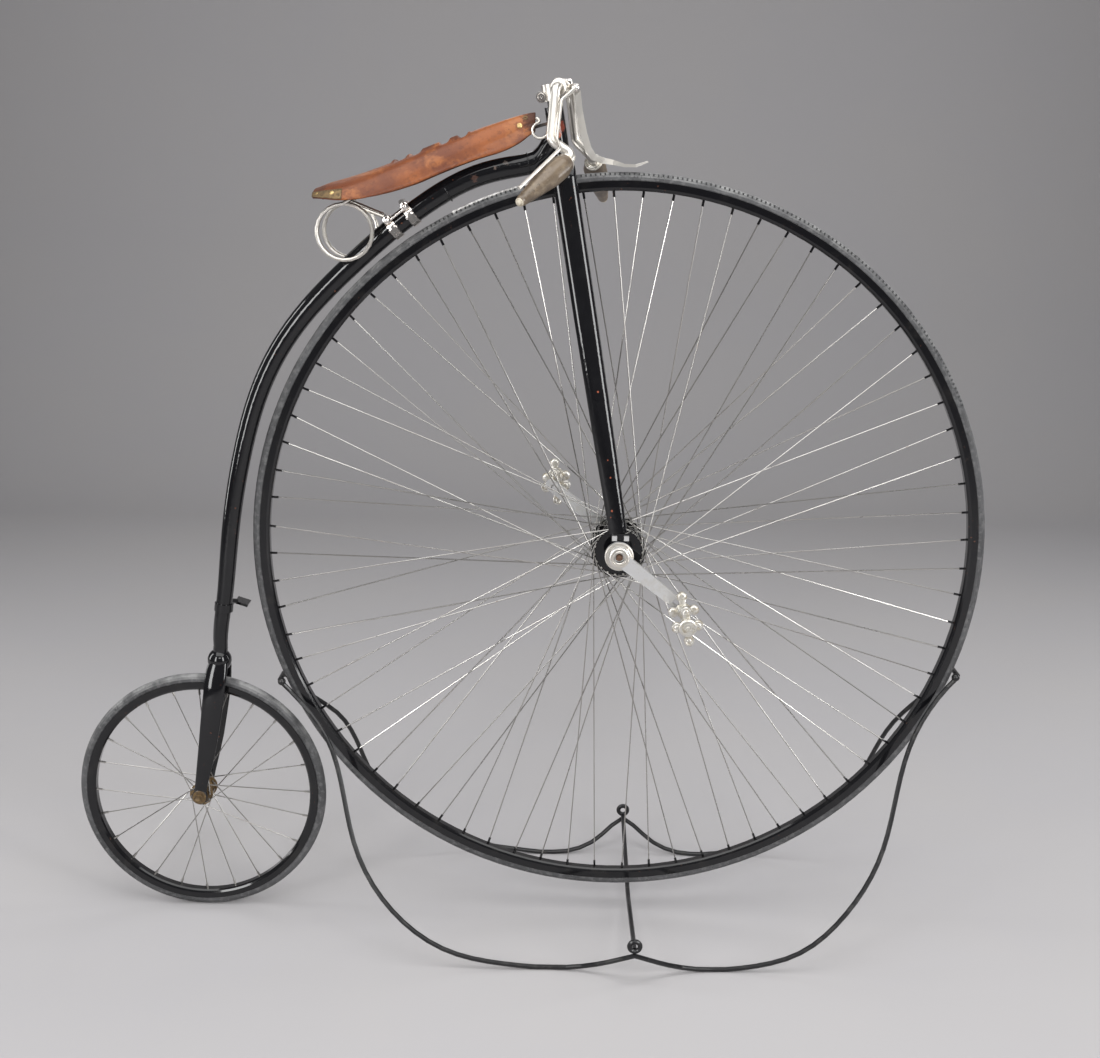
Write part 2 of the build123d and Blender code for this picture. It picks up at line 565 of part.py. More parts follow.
# front saddle hook: open wire ring beside the neck with a short shank to the nose
hook = [(-160, -15.5, 776), (-156, -18.5, 773)]
for k in range(7):
    a = math.radians(95 + 45.0 * k)
    reach = HOOK_R / math.cos(math.radians(22.5))
    hook.append((HOOK_AT[0] + reach * math.cos(a), HOOK_AT[1], HOOK_AT[2] + reach * math.sin(a)))
save("saddle_hook", bent(hook, HOOK_WIRE_R, HOOK_R, WIRE_SIDES))

# brake lever from the pivot pin down along the right side of the bar and over the grip
LEVER_PATH = ((36, 37, 806), (60, 40, 740), (76.6, 54, 724.2), (183.5, 27.5, 658.4))
lever = [(PIVOT_AT[0], -PIVOT_HALF - LEVER_R, PIVOT_AT[2])] + [turned(*point, -1) for point in LEVER_PATH]
save("brake_lever", bent(lever, LEVER_R, 12.0, WIRE_SIDES))

# wire stand: one bent side rod each side, cross rods behind the tyre, dipped cross bar under it
STAND_TURN = (35, -297, -682)
turn_x, turn_y, turn_z = STAND_TURN
REST_Z = -FRONT_AXLE_Z + ROD_R
STAND_BACK = ((-640, -24, -266), (-617, -24, -290), (-544, -70, -366), (-482, -160, -545), (-410, -215, -642),
              (-310, -238, -708), (-190, -243, -733), (-98, -243, REST_Z), (-25, -262, -718), (14, -288, -693), STAND_TURN)
STAND_AHEAD = (STAND_TURN, (56, -288, -693), (95, -262, -718), (165, -243, REST_Z), (255, -241, -731), (340, -236, -706),
               (425, -212, -640), (496, -158, -545), (556, -70, -366), (627, -24, -266), (650, -24, -239))
STAND_STEPS = 34
side_line = []
for half in (STAND_BACK, STAND_AHEAD):
    line = Spline(*half)
    stops = [line @ (k / STAND_STEPS) for k in range(STAND_STEPS + 1)]
    side_line += [(q.X, q.Y, max(q.Z, REST_Z)) for q in stops[1 if side_line else 0:]]
for side, name in ((1, "right"), (-1, "left")):
    save(f"stand_side_{name}", faceted([(x, side * y, z) for x, y, z in side_line], ROD_R, WIRE_SIDES))
eye_z = turn_z + 2 * ROD_R + EYE_R + 0.1
bar_y = -turn_y - ROD_R - 0.1
bar_z = eye_z - EYE_R
cross = bent([(turn_x, -bar_y, bar_z), (turn_x, -25, DIP_Z), (turn_x, 25, DIP_Z), (turn_x, bar_y, bar_z)], ROD_R, 80.0,
             WIRE_SIDES)
save("stand_cross_bar", cross)
eye_ring = revolve(Plane.XZ * Pos(EYE_R, 0) * RegularPolygon(ROD_R, WIRE_SIDES), axis=Axis.Z)
eyes = [Pos(turn_x, side * turn_y, eye_z) * Rot(90, 0, 0) * eye_ring for side in (-1, 1)]
save("stand_eyes", eyes)
ends = []
for x, y, z in (STAND_BACK[0], STAND_AHEAD[-1]):
    ends.append(cyl((x, y + ROD_R + 0.3, z), (x, -y - ROD_R - 0.3, z), ROD_R))
save("stand_end_rods", ends)

export_names = sorted(os.listdir("parts"))
print(len(export_names), "parts")
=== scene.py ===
# %% [markdown]
# A high wheel bicycle, dressed cell by cell. The solids of the machine come in first as a fixed frame,
# and every later cell adds one piece or one finish to them. The frame is in metres, +X is the way the
# bicycle points and the floor is at zero height. Small pieces are laid out in millimetres from the front
# hub, because that is how they are measured on the machine.

# %% Load the frame
import math

import bmesh
import bpy
from mathutils import Matrix, Vector


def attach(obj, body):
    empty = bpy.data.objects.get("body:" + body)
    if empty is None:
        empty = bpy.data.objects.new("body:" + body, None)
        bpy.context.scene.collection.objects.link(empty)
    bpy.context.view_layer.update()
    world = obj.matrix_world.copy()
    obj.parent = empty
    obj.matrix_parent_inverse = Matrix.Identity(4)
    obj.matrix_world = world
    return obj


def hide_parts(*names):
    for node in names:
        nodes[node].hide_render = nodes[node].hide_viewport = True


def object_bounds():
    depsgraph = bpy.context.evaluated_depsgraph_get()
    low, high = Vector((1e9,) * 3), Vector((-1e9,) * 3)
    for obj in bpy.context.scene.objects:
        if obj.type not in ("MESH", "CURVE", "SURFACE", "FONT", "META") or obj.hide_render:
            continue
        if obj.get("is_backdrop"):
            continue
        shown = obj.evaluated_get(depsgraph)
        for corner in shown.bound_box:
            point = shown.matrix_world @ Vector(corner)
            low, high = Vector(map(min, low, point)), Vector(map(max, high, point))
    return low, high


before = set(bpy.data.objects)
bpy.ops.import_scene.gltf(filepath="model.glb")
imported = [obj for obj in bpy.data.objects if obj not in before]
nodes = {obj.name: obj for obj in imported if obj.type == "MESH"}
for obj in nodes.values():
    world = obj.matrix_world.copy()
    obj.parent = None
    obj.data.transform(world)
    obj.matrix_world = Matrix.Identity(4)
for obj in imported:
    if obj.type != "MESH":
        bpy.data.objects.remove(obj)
cad_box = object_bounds()

# %% [markdown]
# The camera stands where the photographer stood: a little above saddle height, looking slightly down. Its
# place was worked out from the two wheels, which are true circles seen from one side. A whole matrix
# would hide that, so the camera is given as a place, a viewing direction, a small roll and a lens.

# %% Camera
CAMERA_AT = Vector((0.070, -2.7962, 1.4467))
VIEW_DIR = Vector((-0.00728, 0.97226, -0.23378)).normalized()
ROLL_DEG = 0.67
LENS_MM, SENSOR_MM = 50.21, 36.0
camera_data = bpy.data.cameras.new("camera")
camera_data.lens = LENS_MM
camera_data.sensor_width = SENSOR_MM
camera = bpy.data.objects.new("camera", camera_data)
bpy.context.scene.collection.objects.link(camera)
level = VIEW_DIR.cross(Vector((0, 0, 1))).normalized()
rise = level.cross(VIEW_DIR)
roll = math.radians(ROLL_DEG)
right = level * math.cos(roll) + rise * math.sin(roll)
up = rise * math.cos(roll) - level * math.sin(roll)
camera.matrix_world = Matrix.Translation(CAMERA_AT) @ Matrix((right, up, -VIEW_DIR)).transposed().to_4x4()
bpy.context.scene.camera = camera
print("camera at", tuple(CAMERA_AT))

# %% [markdown]
# The studio is a pale seamless sheet: a floor that curves up into a backdrop. It could be a plane with a
# bevelled fold. Here one profile line is extruded sideways, which needs fewer steps, and its bend has
# enough points to shade smoothly.

# %% Floor and backdrop
SHEET_HALF = 40.0
SHEET_FRONT, SHEET_BEND_AT, SHEET_R, SHEET_TOP = -9.0, 3.4, 1.6, 7.0
BEND_STEPS = 14


def new_object(name, bm):
    mesh = bpy.data.meshes.new(name)
    bm.to_mesh(mesh)
    bm.free()
    obj = bpy.data.objects.new(name, mesh)
    bpy.context.scene.collection.objects.link(obj)
    return obj


bm = bmesh.new()
line = [(SHEET_FRONT, 0), (SHEET_BEND_AT, 0)]
for k in range(1, BEND_STEPS + 1):
    a = math.pi / 2 * k / BEND_STEPS
    line.append((SHEET_BEND_AT + SHEET_R * math.sin(a), SHEET_R * (1 - math.cos(a))))
line.append((SHEET_BEND_AT + SHEET_R, SHEET_TOP))
verts = [bm.verts.new((-SHEET_HALF, y, z)) for y, z in line]
edges = [bm.edges.new(pair) for pair in zip(verts, verts[1:])]
made = bmesh.ops.extrude_edge_only(bm, edges=edges)["geom"]
far_end = [item for item in made if isinstance(item, bmesh.types.BMVert)]
bmesh.ops.translate(bm, vec=(2 * SHEET_HALF, 0, 0), verts=far_end)
bmesh.ops.recalc_face_normals(bm, faces=bm.faces)
if bm.faces[0].normal.z < 0:
    bmesh.ops.reverse_faces(bm, faces=bm.faces)
floor = new_object("studio_sheet", bm)
for face in floor.data.polygons:
    face.use_smooth = True
floor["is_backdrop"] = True
print("studio sheet faces:", len(floor.data.polygons))

# %% [markdown]
# Soft light comes from large lamps. A wide one overhead gives the long glints on the tubes. Two tall ones
# beside the camera draw the bright bands down the fork, and two more at the sides edge the tubes. One
# above the camera fills the near side, and a weak one from behind keeps the far side readable. The world
# adds an even grey.

# %% Lamps and world
LAMPS = (
    # name, place, aim, width, height, watts
    ("overhead", (0.1, -0.9, 3.6), (0.1, 0.2, 0.6), 4.2, 2.6, 92),
    ("near_left", (-2.2, -3.1, 1.7), (0.0, 0.0, 0.8), 0.8, 2.6, 72),
    ("near_right", (2.5, -2.9, 1.8), (0.1, 0.0, 0.8), 0.9, 2.6, 84),
    ("side_left", (-3.6, 0.2, 1.7), (0.0, 0.0, 0.8), 0.7, 2.6, 40),
    ("side_right", (3.7, 0.9, 1.7), (0.0, 0.0, 0.8), 0.7, 2.6, 40),
    ("camera_side", (0.5, -4.4, 3.3), (0.1, 0.0, 0.8), 1.8, 0.8, 30),
    ("far_fill", (0.3, 2.6, 3.2), (0.0, 0.0, 0.7), 3.0, 1.4, 20),
)
for name, place, aim, wide, tall, watts in LAMPS:
    lamp = bpy.data.lights.new(name, "AREA")
    lamp.shape = "RECTANGLE"
    lamp.size, lamp.size_y, lamp.energy = wide, tall, watts
    holder = bpy.data.objects.new(name, lamp)
    bpy.context.scene.collection.objects.link(holder)
    turned = (Vector(aim) - Vector(place)).to_track_quat("-Z", "Y").to_matrix().to_4x4()
    holder.matrix_world = Matrix.Translation(place) @ turned
WORLD_GREY, WORLD_STRENGTH = (0.62, 0.62, 0.64, 1.0), 0.22
world = bpy.data.worlds.new("studio_air")
bpy.context.scene.world = world
world.use_nodes = True
air = world.node_tree.nodes["Background"]
air.inputs["Color"].default_value = WORLD_GREY
air.inputs["Strength"].default_value = WORLD_STRENGTH
bpy.context.scene.view_settings.view_transform = "Standard"
print("lamps:", len(LAMPS))

# %% [markdown]
# A material in Blender is a small machine of nodes, and the same few steps come again and again: feed a
# socket with a value or a link, place a noise, turn it into a soft mask, combine two masks. Written once
# as functions they keep every later cell short. The noise reads Object coordinates, so a pattern stays
# where it is on its piece.

# %% Node helpers
def node_group(name, inputs, outputs):
    tree = bpy.data.node_groups.new(name, "ShaderNodeTree")
    for label, value in inputs:
        socket = tree.interface.new_socket(name=label, in_out="INPUT", socket_type="NodeSocketFloat")
        socket.default_value = value
    for label in outputs:
        tree.interface.new_socket(name=label, in_out="OUTPUT", socket_type="NodeSocketFloat")
    return tree, tree.nodes.new("NodeGroupInput"), tree.nodes.new("NodeGroupOutput")


def feed(tree, value, socket):
    if isinstance(value, bpy.types.NodeSocket):
        tree.links.new(value, socket)
    else:
        socket.default_value = value


def noise(tree, scale, detail=4.0, rough=0.55):
    place = tree.nodes.new("ShaderNodeTexCoord")
    texture = tree.nodes.new("ShaderNodeTexNoise")
    tree.links.new(place.outputs["Object"], texture.inputs["Vector"])
    for label, value in (("Scale", scale), ("Detail", detail), ("Roughness", rough)):
        feed(tree, value, texture.inputs[label])
    return texture.outputs["Fac"]


def spread(tree, value, low, high):
    ramp = tree.nodes.new("ShaderNodeMapRange")
    ramp.interpolation_type = "SMOOTHSTEP"
    for label, part in (("Value", value), ("From Min", low), ("From Max", high)):
        feed(tree, part, ramp.inputs[label])
    return ramp.outputs["Result"]


def combine(tree, operation, *values):
    step = tree.nodes.new("ShaderNodeMath")
    step.operation = operation
    for value, socket in zip(values, step.inputs):
        feed(tree, value, socket)
    return step.outputs["Value"]


print("node helpers ready")

# %% [markdown]
# Wear shows the same way on many finishes, so each kind is one node group with named sockets, built once.
# Blotches are soft patches, chips are small hard-edged flecks, grain is a fine height for bump, and dust
# settles on faces that look upwards. A spot is one ragged patch at a known place. A painted mask would
# also do, but a group can be used again on any piece.

# %% Shared wear groups
blotches, gi, go = node_group("blotches", [("Scale", 12.0), ("Low", 0.45), ("High", 0.65)], ["Mask"])
patches = noise(blotches, gi.outputs["Scale"], 6.0, 0.6)
feed(blotches, spread(blotches, patches, gi.outputs["Low"], gi.outputs["High"]), go.inputs["Mask"])

chips, gi, go = node_group("chips", [("Scale", 90.0), ("Low", 0.66), ("High", 0.68)], ["Mask"])
flakes = spread(chips, noise(chips, gi.outputs["Scale"], 3.0, 0.7), gi.outputs["Low"], gi.outputs["High"])
knocked = spread(chips, noise(chips, 9.0, 2.0), 0.48, 0.6)
feed(chips, combine(chips, "MULTIPLY", flakes, knocked), go.inputs["Mask"])

grain, gi, go = node_group("grain", [("Scale", 400.0)], ["Height"])
feed(grain, noise(grain, gi.outputs["Scale"], 5.0, 0.6), go.inputs["Height"])

dust, gi, go = node_group("dust", [("Low", 0.35), ("High", 1.0)], ["Mask"])
facing = dust.nodes.new("ShaderNodeSeparateXYZ")
feed(dust, dust.nodes.new("ShaderNodeNewGeometry").outputs["Normal"], facing.inputs["Vector"])
upward = spread(dust, facing.outputs["Z"], gi.outputs["Low"], gi.outputs["High"])
uneven = spread(dust, noise(dust, 34.0, 5.0), 0.3, 0.7)
feed(dust, combine(dust, "MULTIPLY", upward, uneven), go.inputs["Mask"])

SPOT_INPUTS = [("X", 0.0), ("Y", 0.0), ("Z", 0.0), ("Radius", 0.01), ("Ragged", 0.5)]
spot, gi, go = node_group("spot", SPOT_INPUTS, ["Mask"])
middle = spot.nodes.new("ShaderNodeCombineXYZ")
for label in ("X", "Y", "Z"):
    feed(spot, gi.outputs[label], middle.inputs[label])
away = spot.nodes.new("ShaderNodeVectorMath")
away.operation = "DISTANCE"
feed(spot, spot.nodes.new("ShaderNodeTexCoord").outputs["Object"], away.inputs[0])
feed(spot, middle.outputs["Vector"], away.inputs[1])
share = combine(spot, "DIVIDE", away.outputs["Value"], gi.outputs["Radius"])
torn = combine(spot, "MULTIPLY_ADD", noise(spot, 260.0, 4.0, 0.7), gi.outputs["Ragged"], share)
feed(spot, spread(spot, torn, 1.15, 0.95), go.inputs["Mask"])
print("wear groups:", [g.name for g in bpy.data.node_groups])

# %% [markdown]
# A finish is a base colour and roughness, then a short list of layers. Each layer is one wear group with
# its own values, and it pulls the colour, the roughness and the metal towards its own. Three short
# functions name the kinds of layer, because such a list reads more plainly than a wall of node calls.
# Every finish below is made this way.

# %% Finish maker
GROUPS = {"blotches": blotches, "chips": chips, "dust": dust, "spot": spot}
MIX_SOCKETS = {
    # kind: first value in, second value in, result out
    "RGBA": (6, 7, 2),
    "FLOAT": (2, 3, 0),
}
COAT_ROUGH = 0.06


def patchy(scale, low, high, colour, rough, metal, amount):
    return "blotches", {"Scale": scale, "Low": low, "High": high}, colour, rough, metal, amount


def chipped(scale, low, high, colour, rough, metal, amount):
    return "chips", {"Scale": scale, "Low": low, "High": high}, colour, rough, metal, amount


def dusted(low, high, colour, rough, metal, amount):
    return "dust", {"Low": low, "High": high}, colour, rough, metal, amount


def blend(tree, kind, strength, start, end):
    first, second, result = MIX_SOCKETS[kind]
    mix = tree.nodes.new("ShaderNodeMix")
    mix.data_type = kind
    for value, socket in ((strength, 0), (start, first), (end, second)):
        feed(tree, value, mix.inputs[socket])
    return mix.outputs[result]


def finish(name, colour, rough, metal=0.0, layers=(), bumps=(), coat=0.0, coat_ior=1.5, specular=0.5):
    material = bpy.data.materials.new(name)
    material.use_nodes = True
    tree = material.node_tree
    shader = tree.nodes["Principled BSDF"]
    shader.inputs["Coat Weight"].default_value = coat
    shader.inputs["Coat Roughness"].default_value = COAT_ROUGH
    shader.inputs["Coat IOR"].default_value = coat_ior
    shader.inputs["Specular IOR Level"].default_value = specular
    colour_now, rough_now, metal_now = (*colour, 1.0), rough, metal
    for group, sockets, to_colour, to_rough, to_metal, amount in layers:
        mask = tree.nodes.new("ShaderNodeGroup")
        mask.node_tree = GROUPS[group]
        for label, value in sockets.items():
            mask.inputs[label].default_value = value
        strength = combine(tree, "MULTIPLY", mask.outputs["Mask"], amount)
        colour_now = blend(tree, "RGBA", strength, colour_now, (*to_colour, 1.0))
        rough_now = blend(tree, "FLOAT", strength, rough_now, to_rough)
        if to_metal is not None:
            metal_now = blend(tree, "FLOAT", strength, metal_now, to_metal)
    for label, value in (("Base Color", colour_now), ("Roughness", rough_now), ("Metallic", metal_now)):
        feed(tree, value, shader.inputs[label])
    normal = None
    for scale, strength, distance in bumps:
        height = tree.nodes.new("ShaderNodeGroup")
        height.node_tree = grain
        height.inputs["Scale"].default_value = scale
        bump = tree.nodes.new("ShaderNodeBump")
        bump.inputs["Strength"].default_value = strength
        bump.inputs["Distance"].default_value = distance
        tree.links.new(height.outputs["Height"], bump.inputs["Height"])
        if normal:
            tree.links.new(normal, bump.inputs["Normal"])
        normal = bump.outputs["Normal"]
    if normal:
        tree.links.new(normal, shader.inputs["Normal"])
    return material


print("finish maker ready")

# %% [markdown]
# The frame, fork and rims are black stove enamel. It is deep and glossy, with a soft haze, brown chips
# where it has been knocked, and a little dust on top. A dark base under a clear coat gives that depth.
# The fork blade, the neck and the tube also have single worn spots, placed in millimetres from the hub.
# The rims are duller, so they have a finish of their own.

# %% Enamel finishes
HUB, MM = Vector((0.177, 0.0, 0.742)), 0.001
RUST, RED_EARTH, RED_LEAD = (0.16, 0.05, 0.02), (0.34, 0.09, 0.045), (0.17, 0.035, 0.02)
OCHRE, SCUFF = (0.30, 0.24, 0.10), (0.10, 0.075, 0.065)
BLACK = (0.005, 0.005, 0.006)
GLAZE = {"coat": 0.75, "coat_ior": 1.5, "specular": 0.1}
ENAMEL_BUMPS = ((900.0, 0.03, 0.0004), (45.0, 0.03, 0.001))
ENAMEL_WEAR = (
    patchy(26.0, 0.5, 0.78, (0.009, 0.009, 0.010), 0.2, None, 0.7),
    chipped(120.0, 0.67, 0.7, RUST, 0.7, None, 0.8),
    dusted(0.6, 1.0, (0.05, 0.048, 0.045), 0.5, None, 0.15))
SPOT_ROUGH = 0.7


def at_hub(x, y, z):
    return HUB + Vector((x, y, z)) * MM


def wear_spot(x, y, z, radius, colour, ragged=0.5, amount=0.9):
    place = at_hub(x, y, z)
    sockets = {"X": place.x, "Y": place.y, "Z": place.z, "Radius": radius * MM, "Ragged": ragged}
    return "spot", sockets, colour, SPOT_ROUGH, None, amount


def black_enamel(name, rough=0.12, spots=()):
    return finish(name, BLACK, rough, layers=ENAMEL_WEAR + spots, bumps=ENAMEL_BUMPS, **GLAZE)


enamel = black_enamel("black_enamel")
blade_enamel = black_enamel("blade_enamel", spots=(
    wear_spot(-30, -60, 221, 4.5, RED_EARTH), wear_spot(-18.5, -60, 144, 3.0, RED_EARTH),
    wear_spot(-15, -62, 82, 3.6, RED_EARTH), wear_spot(-17, -62, 70, 3.4, RED_EARTH),
    wear_spot(-44, -52, 300, 2.4, RED_EARTH), wear_spot(-24, -58, 176, 2.0, RED_EARTH)))
head_enamel = black_enamel("head_enamel", rough=0.14, spots=(
    wear_spot(-119, -17, 762, 19.0, RED_LEAD, 0.9), wear_spot(-121, -17, 748, 8.0, RED_EARTH, 0.7),
    wear_spot(-140, -12, 700, 9.0, SCUFF, 0.9)))
tube_enamel = black_enamel("tube_enamel", spots=(
    wear_spot(-480, 2, 571, 26.0, OCHRE, 0.9, 0.75), wear_spot(-458, 4, 590, 20.0, OCHRE, 1.0, 0.6),
    wear_spot(-213, -19, 700, 12.0, (0.10, 0.08, 0.07), 1.3, 0.6),
    wear_spot(-232, -19, 690, 9.0, (0.15, 0.11, 0.09), 1.5, 0.7),
    wear_spot(-268, -19, 672, 17.0, (0.07, 0.035, 0.026), 1.5, 0.8)))
rim_enamel = finish(
    "rim_enamel", BLACK, 0.16, **GLAZE, layers=(
        patchy(40.0, 0.5, 0.75, (0.016, 0.015, 0.014), 0.36, None, 0.6),
        chipped(160.0, 0.67, 0.7, (0.14, 0.055, 0.03), 0.75, None, 0.8),
        dusted(0.4, 1.0, (0.05, 0.047, 0.043), 0.6, None, 0.2)),
    bumps=((700.0, 0.05, 0.0005),))
stand_black = finish(
    "stand_black", (0.006, 0.006, 0.007), 0.28, layers=(
        patchy(60.0, 0.5, 0.7, (0.03, 0.028, 0.026), 0.5, None, 0.7),
        chipped(220.0, 0.66, 0.69, (0.22, 0.19, 0.17), 0.5, 0.6, 0.8)),
    bumps=((500.0, 0.15, 0.0004),))
saddle_iron = finish(
    "saddle_iron", (0.018, 0.015, 0.013), 0.45, layers=(
        patchy(70.0, 0.42, 0.6, (0.07, 0.035, 0.02), 0.75, None, 0.8),),
    bumps=((600.0, 0.25, 0.0005),))
print("enamels done")

# %% [markdown]
# Bright parts were nickel plated. Old nickel is warm and slightly milky, with dull patches and a few
# brown specks. The spokes, the axle and the cranks are plain steel that has gone grey, with a little rust.
# The rear hub is brass under old grease. A metal shows mostly what it reflects, so its wear is drawn in
# roughness as much as in colour.

# %% Metal finishes
nickel = finish(
    "old_nickel", (0.74, 0.71, 0.66), 0.34, 1.0, layers=(
        patchy(30.0, 0.42, 0.75, (0.64, 0.60, 0.53), 0.44, 0.95, 0.7),
        chipped(260.0, 0.66, 0.7, (0.40, 0.33, 0.26), 0.55, 0.6, 0.6)),
    bumps=((700.0, 0.03, 0.0004),))
bright_nickel = finish(
    "bright_nickel", (0.88, 0.84, 0.80), 0.16, 1.0, layers=(
        patchy(120.0, 0.45, 0.7, (0.62, 0.53, 0.47), 0.30, 0.95, 0.7),
        chipped(260.0, 0.64, 0.68, (0.24, 0.16, 0.11), 0.5, 0.5, 0.7)),
    bumps=((700.0, 0.04, 0.0004),))
spoke_steel = finish(
    "spoke_steel", (0.44, 0.43, 0.41), 0.27, 1.0, layers=(
        patchy(5.0, 0.42, 0.7, (0.28, 0.26, 0.24), 0.40, 0.9, 0.6),
        chipped(90.0, 0.64, 0.68, (0.25, 0.16, 0.11), 0.7, 0.3, 0.4)))
crank_steel = finish(
    "crank_steel", (0.70, 0.70, 0.70), 0.40, 0.85, layers=(
        patchy(60.0, 0.46, 0.72, (0.60, 0.58, 0.54), 0.48, 0.85, 0.7),
        chipped(190.0, 0.65, 0.7, (0.34, 0.20, 0.12), 0.7, 0.3, 0.8)),
    bumps=((800.0, 0.05, 0.0005),))
pedal_metal = finish(
    "pedal_nickel", (0.74, 0.72, 0.67), 0.34, 0.95, layers=(
        patchy(110.0, 0.46, 0.62, (0.44, 0.39, 0.30), 0.5, 0.85, 0.8),
        chipped(330.0, 0.6, 0.66, (0.16, 0.11, 0.06), 0.6, 0.4, 0.8)),
    bumps=((500.0, 0.2, 0.0005),))
brass = finish(
    "old_brass", (0.62, 0.45, 0.20), 0.35, 1.0, layers=(
        patchy(300.0, 0.45, 0.65, (0.30, 0.20, 0.09), 0.6, 0.7, 0.8),))
dirty_brass = finish(
    "dirty_brass", (0.22, 0.15, 0.075), 0.5, 0.8, layers=(
        patchy(160.0, 0.4, 0.65, (0.07, 0.045, 0.025), 0.8, 0.2, 0.85),),
    bumps=((400.0, 0.3, 0.0006),))
print("metals done")

# %% [markdown]
# The tyres are old solid rubber: dark at the sides and pale grey on the faces that look upwards, so the
# top of each tyre is lighter. The grips are turned horn, brown grey with darker and paler clouds, polished
# by hands. Neither is one even colour, so both get several layers of patches at different scales.

# %% Rubber and horn
rubber = finish(
    "grey_rubber", (0.045, 0.045, 0.047), 0.62, layers=(
        patchy(6.0, 0.40, 0.66, (0.085, 0.085, 0.088), 0.75, None, 0.9),
        patchy(95.0, 0.48, 0.62, (0.15, 0.15, 0.15), 0.85, None, 0.5),
        # pale grey on the faces that look upwards, so the top of the tyre is lighter
        dusted(0.05, 0.75, (0.33, 0.33, 0.325), 0.9, None, 0.7),
        chipped(240.0, 0.6, 0.64, (0.012, 0.012, 0.012), 0.9, None, 0.7)),
    bumps=((300.0, 0.4, 0.001), (1100.0, 0.3, 0.0005)))
horn = finish(
    "grip_horn", (0.155, 0.115, 0.075), 0.36, coat=0.25, layers=(
        patchy(22.0, 0.4, 0.66, (0.075, 0.052, 0.034), 0.42, None, 0.85),
        patchy(90.0, 0.5, 0.66, (0.24, 0.19, 0.13), 0.5, None, 0.5),
        chipped(210.0, 0.62, 0.66, (0.03, 0.02, 0.014), 0.6, None, 0.7)),
    bumps=((260.0, 0.2, 0.0006),))
print("rubber and horn done")

# %% [markdown]
# Saddle leather has a tan body, darker brown where hands and weather reached it, a fine pore grain and a
# few shallow creases. The pore grain is a small height only, because a deep one would look like foam. The
# dark places at the nose, at the back and round the slot are single spots.

# %% Leather finish
DARK_LEATHER = (0.075, 0.022, 0.010)
SLOT_STAINS = tuple(wear_spot(x, 0, z, r, DARK_LEATHER, 0.9, 0.75)
                    for x, z, r in ((-300, 746, 30.0), (-350, 726, 26.0), (-400, 706, 30.0)))
leather = finish(
    "saddle_leather", (0.25, 0.075, 0.02), 0.4, coat=0.12, specular=0.3, layers=(
        patchy(8.0, 0.40, 0.60, (0.12, 0.032, 0.012), 0.42, None, 0.9),
        patchy(24.0, 0.52, 0.68, (0.35, 0.125, 0.038), 0.34, None, 0.65),
        patchy(120.0, 0.52, 0.68, DARK_LEATHER, 0.5, None, 0.4),
        wear_spot(-166, 0, 768, 34.0, (0.045, 0.015, 0.009), 0.8, 0.85),
        wear_spot(-548, -40, 636, 50.0, (0.07, 0.024, 0.012), 1.0, 0.8),
        *SLOT_STAINS,
        chipped(130.0, 0.63, 0.69, (0.05, 0.018, 0.009), 0.6, None, 0.6)),
    bumps=((900.0, 0.2, 0.0005), (38.0, 0.3, 0.004)))
print("leather done")

# %% [markdown]
# Each solid of the frame takes one of these finishes. A solid has one slot, so its finish is set there,
# and its shape stays as it came.

# %% Dress the solids
WEARS = {
    enamel: ("bearing_block_left", "bearing_block_right", "fork_crown_and_stem", "front_hub", "rear_fork",
             "step", "step_band"),
    blade_enamel: ("fork_blade_left", "fork_blade_right"),
    head_enamel: ("neck",),
    tube_enamel: ("backbone",),
    rim_enamel: ("front_rim", "rear_rim", "front_nipples"),
    stand_black: ("stand_side_left", "stand_side_right", "stand_cross_bar", "stand_eyes", "stand_end_rods"),
    saddle_iron: ("saddle_plate",),
    nickel: ("brake_lever", "brake_spoon", "handlebar", "handlebar_lug", "saddle_hook", "saddle_springs"),
    bright_nickel: ("spring_bands",),
    pedal_metal: ("pedal_left", "pedal_right"),
    spoke_steel: ("front_spokes_left", "front_spokes_right", "rear_spokes"),
    crank_steel: ("bearing_bolts_left", "bearing_bolts_right", "crank_left", "crank_right", "front_axle",
                  "pedal_spindle_left", "pedal_spindle_right"),
    dirty_brass: ("rear_hub", "rear_axle"),
    rubber: ("front_tyre", "rear_tyre"),
    horn: ("grip_left", "grip_right"),
    leather: ("saddle_leather",),
}
for material, names in WEARS.items():
    for name in names:
        nodes[name].data.materials.clear()
        nodes[name].data.materials.append(material)
bare = sorted(set(nodes) - {n for names in WEARS.values() for n in names})
print("dressed:", len(nodes) - len(bare), "left bare:", bare)

# %% [markdown]
# The sheet behind the part and the floor under it share one plain matt paint. Its grey is a colour, not a
# light level, so the picture keeps its contrast while the lamps stay as they are.

# %% Studio paint
sheet_paint = finish("studio_sheet_paint", (0.43, 0.42, 0.43), 0.9, layers=(
    patchy(1.2, 0.3, 0.7, (0.445, 0.43, 0.425), 0.9, None, 0.5),))
floor.data.materials.append(sheet_paint)
print("sheet painted")

# %% [markdown]
# Small round fittings, such as rivets, caps and ferrules, are all turned on a lathe. So one helper spins
# a short profile of radius and height about an axis. Nuts start from a six sided cone with equal ends,
# and blocks from a cube with softened edges. Each goes straight to where it belongs, and the last helper
# closes a piece and lets it ride on a body of the frame.

# %% Fitting helpers
MERGE_DIST = 1e-6


def aimed(place, axis):
    turned = Vector(axis).normalized().to_track_quat("Z", "Y").to_matrix().to_4x4()
    return Matrix.Translation(place) @ turned


def ball(bm, place, radius, around, up_steps, squash=(1, 1, 1)):
    matrix = Matrix.Translation(place) @ Matrix.Diagonal((*squash, 1))
    bmesh.ops.create_uvsphere(bm, u_segments=around, v_segments=up_steps, radius=radius * MM, matrix=matrix)


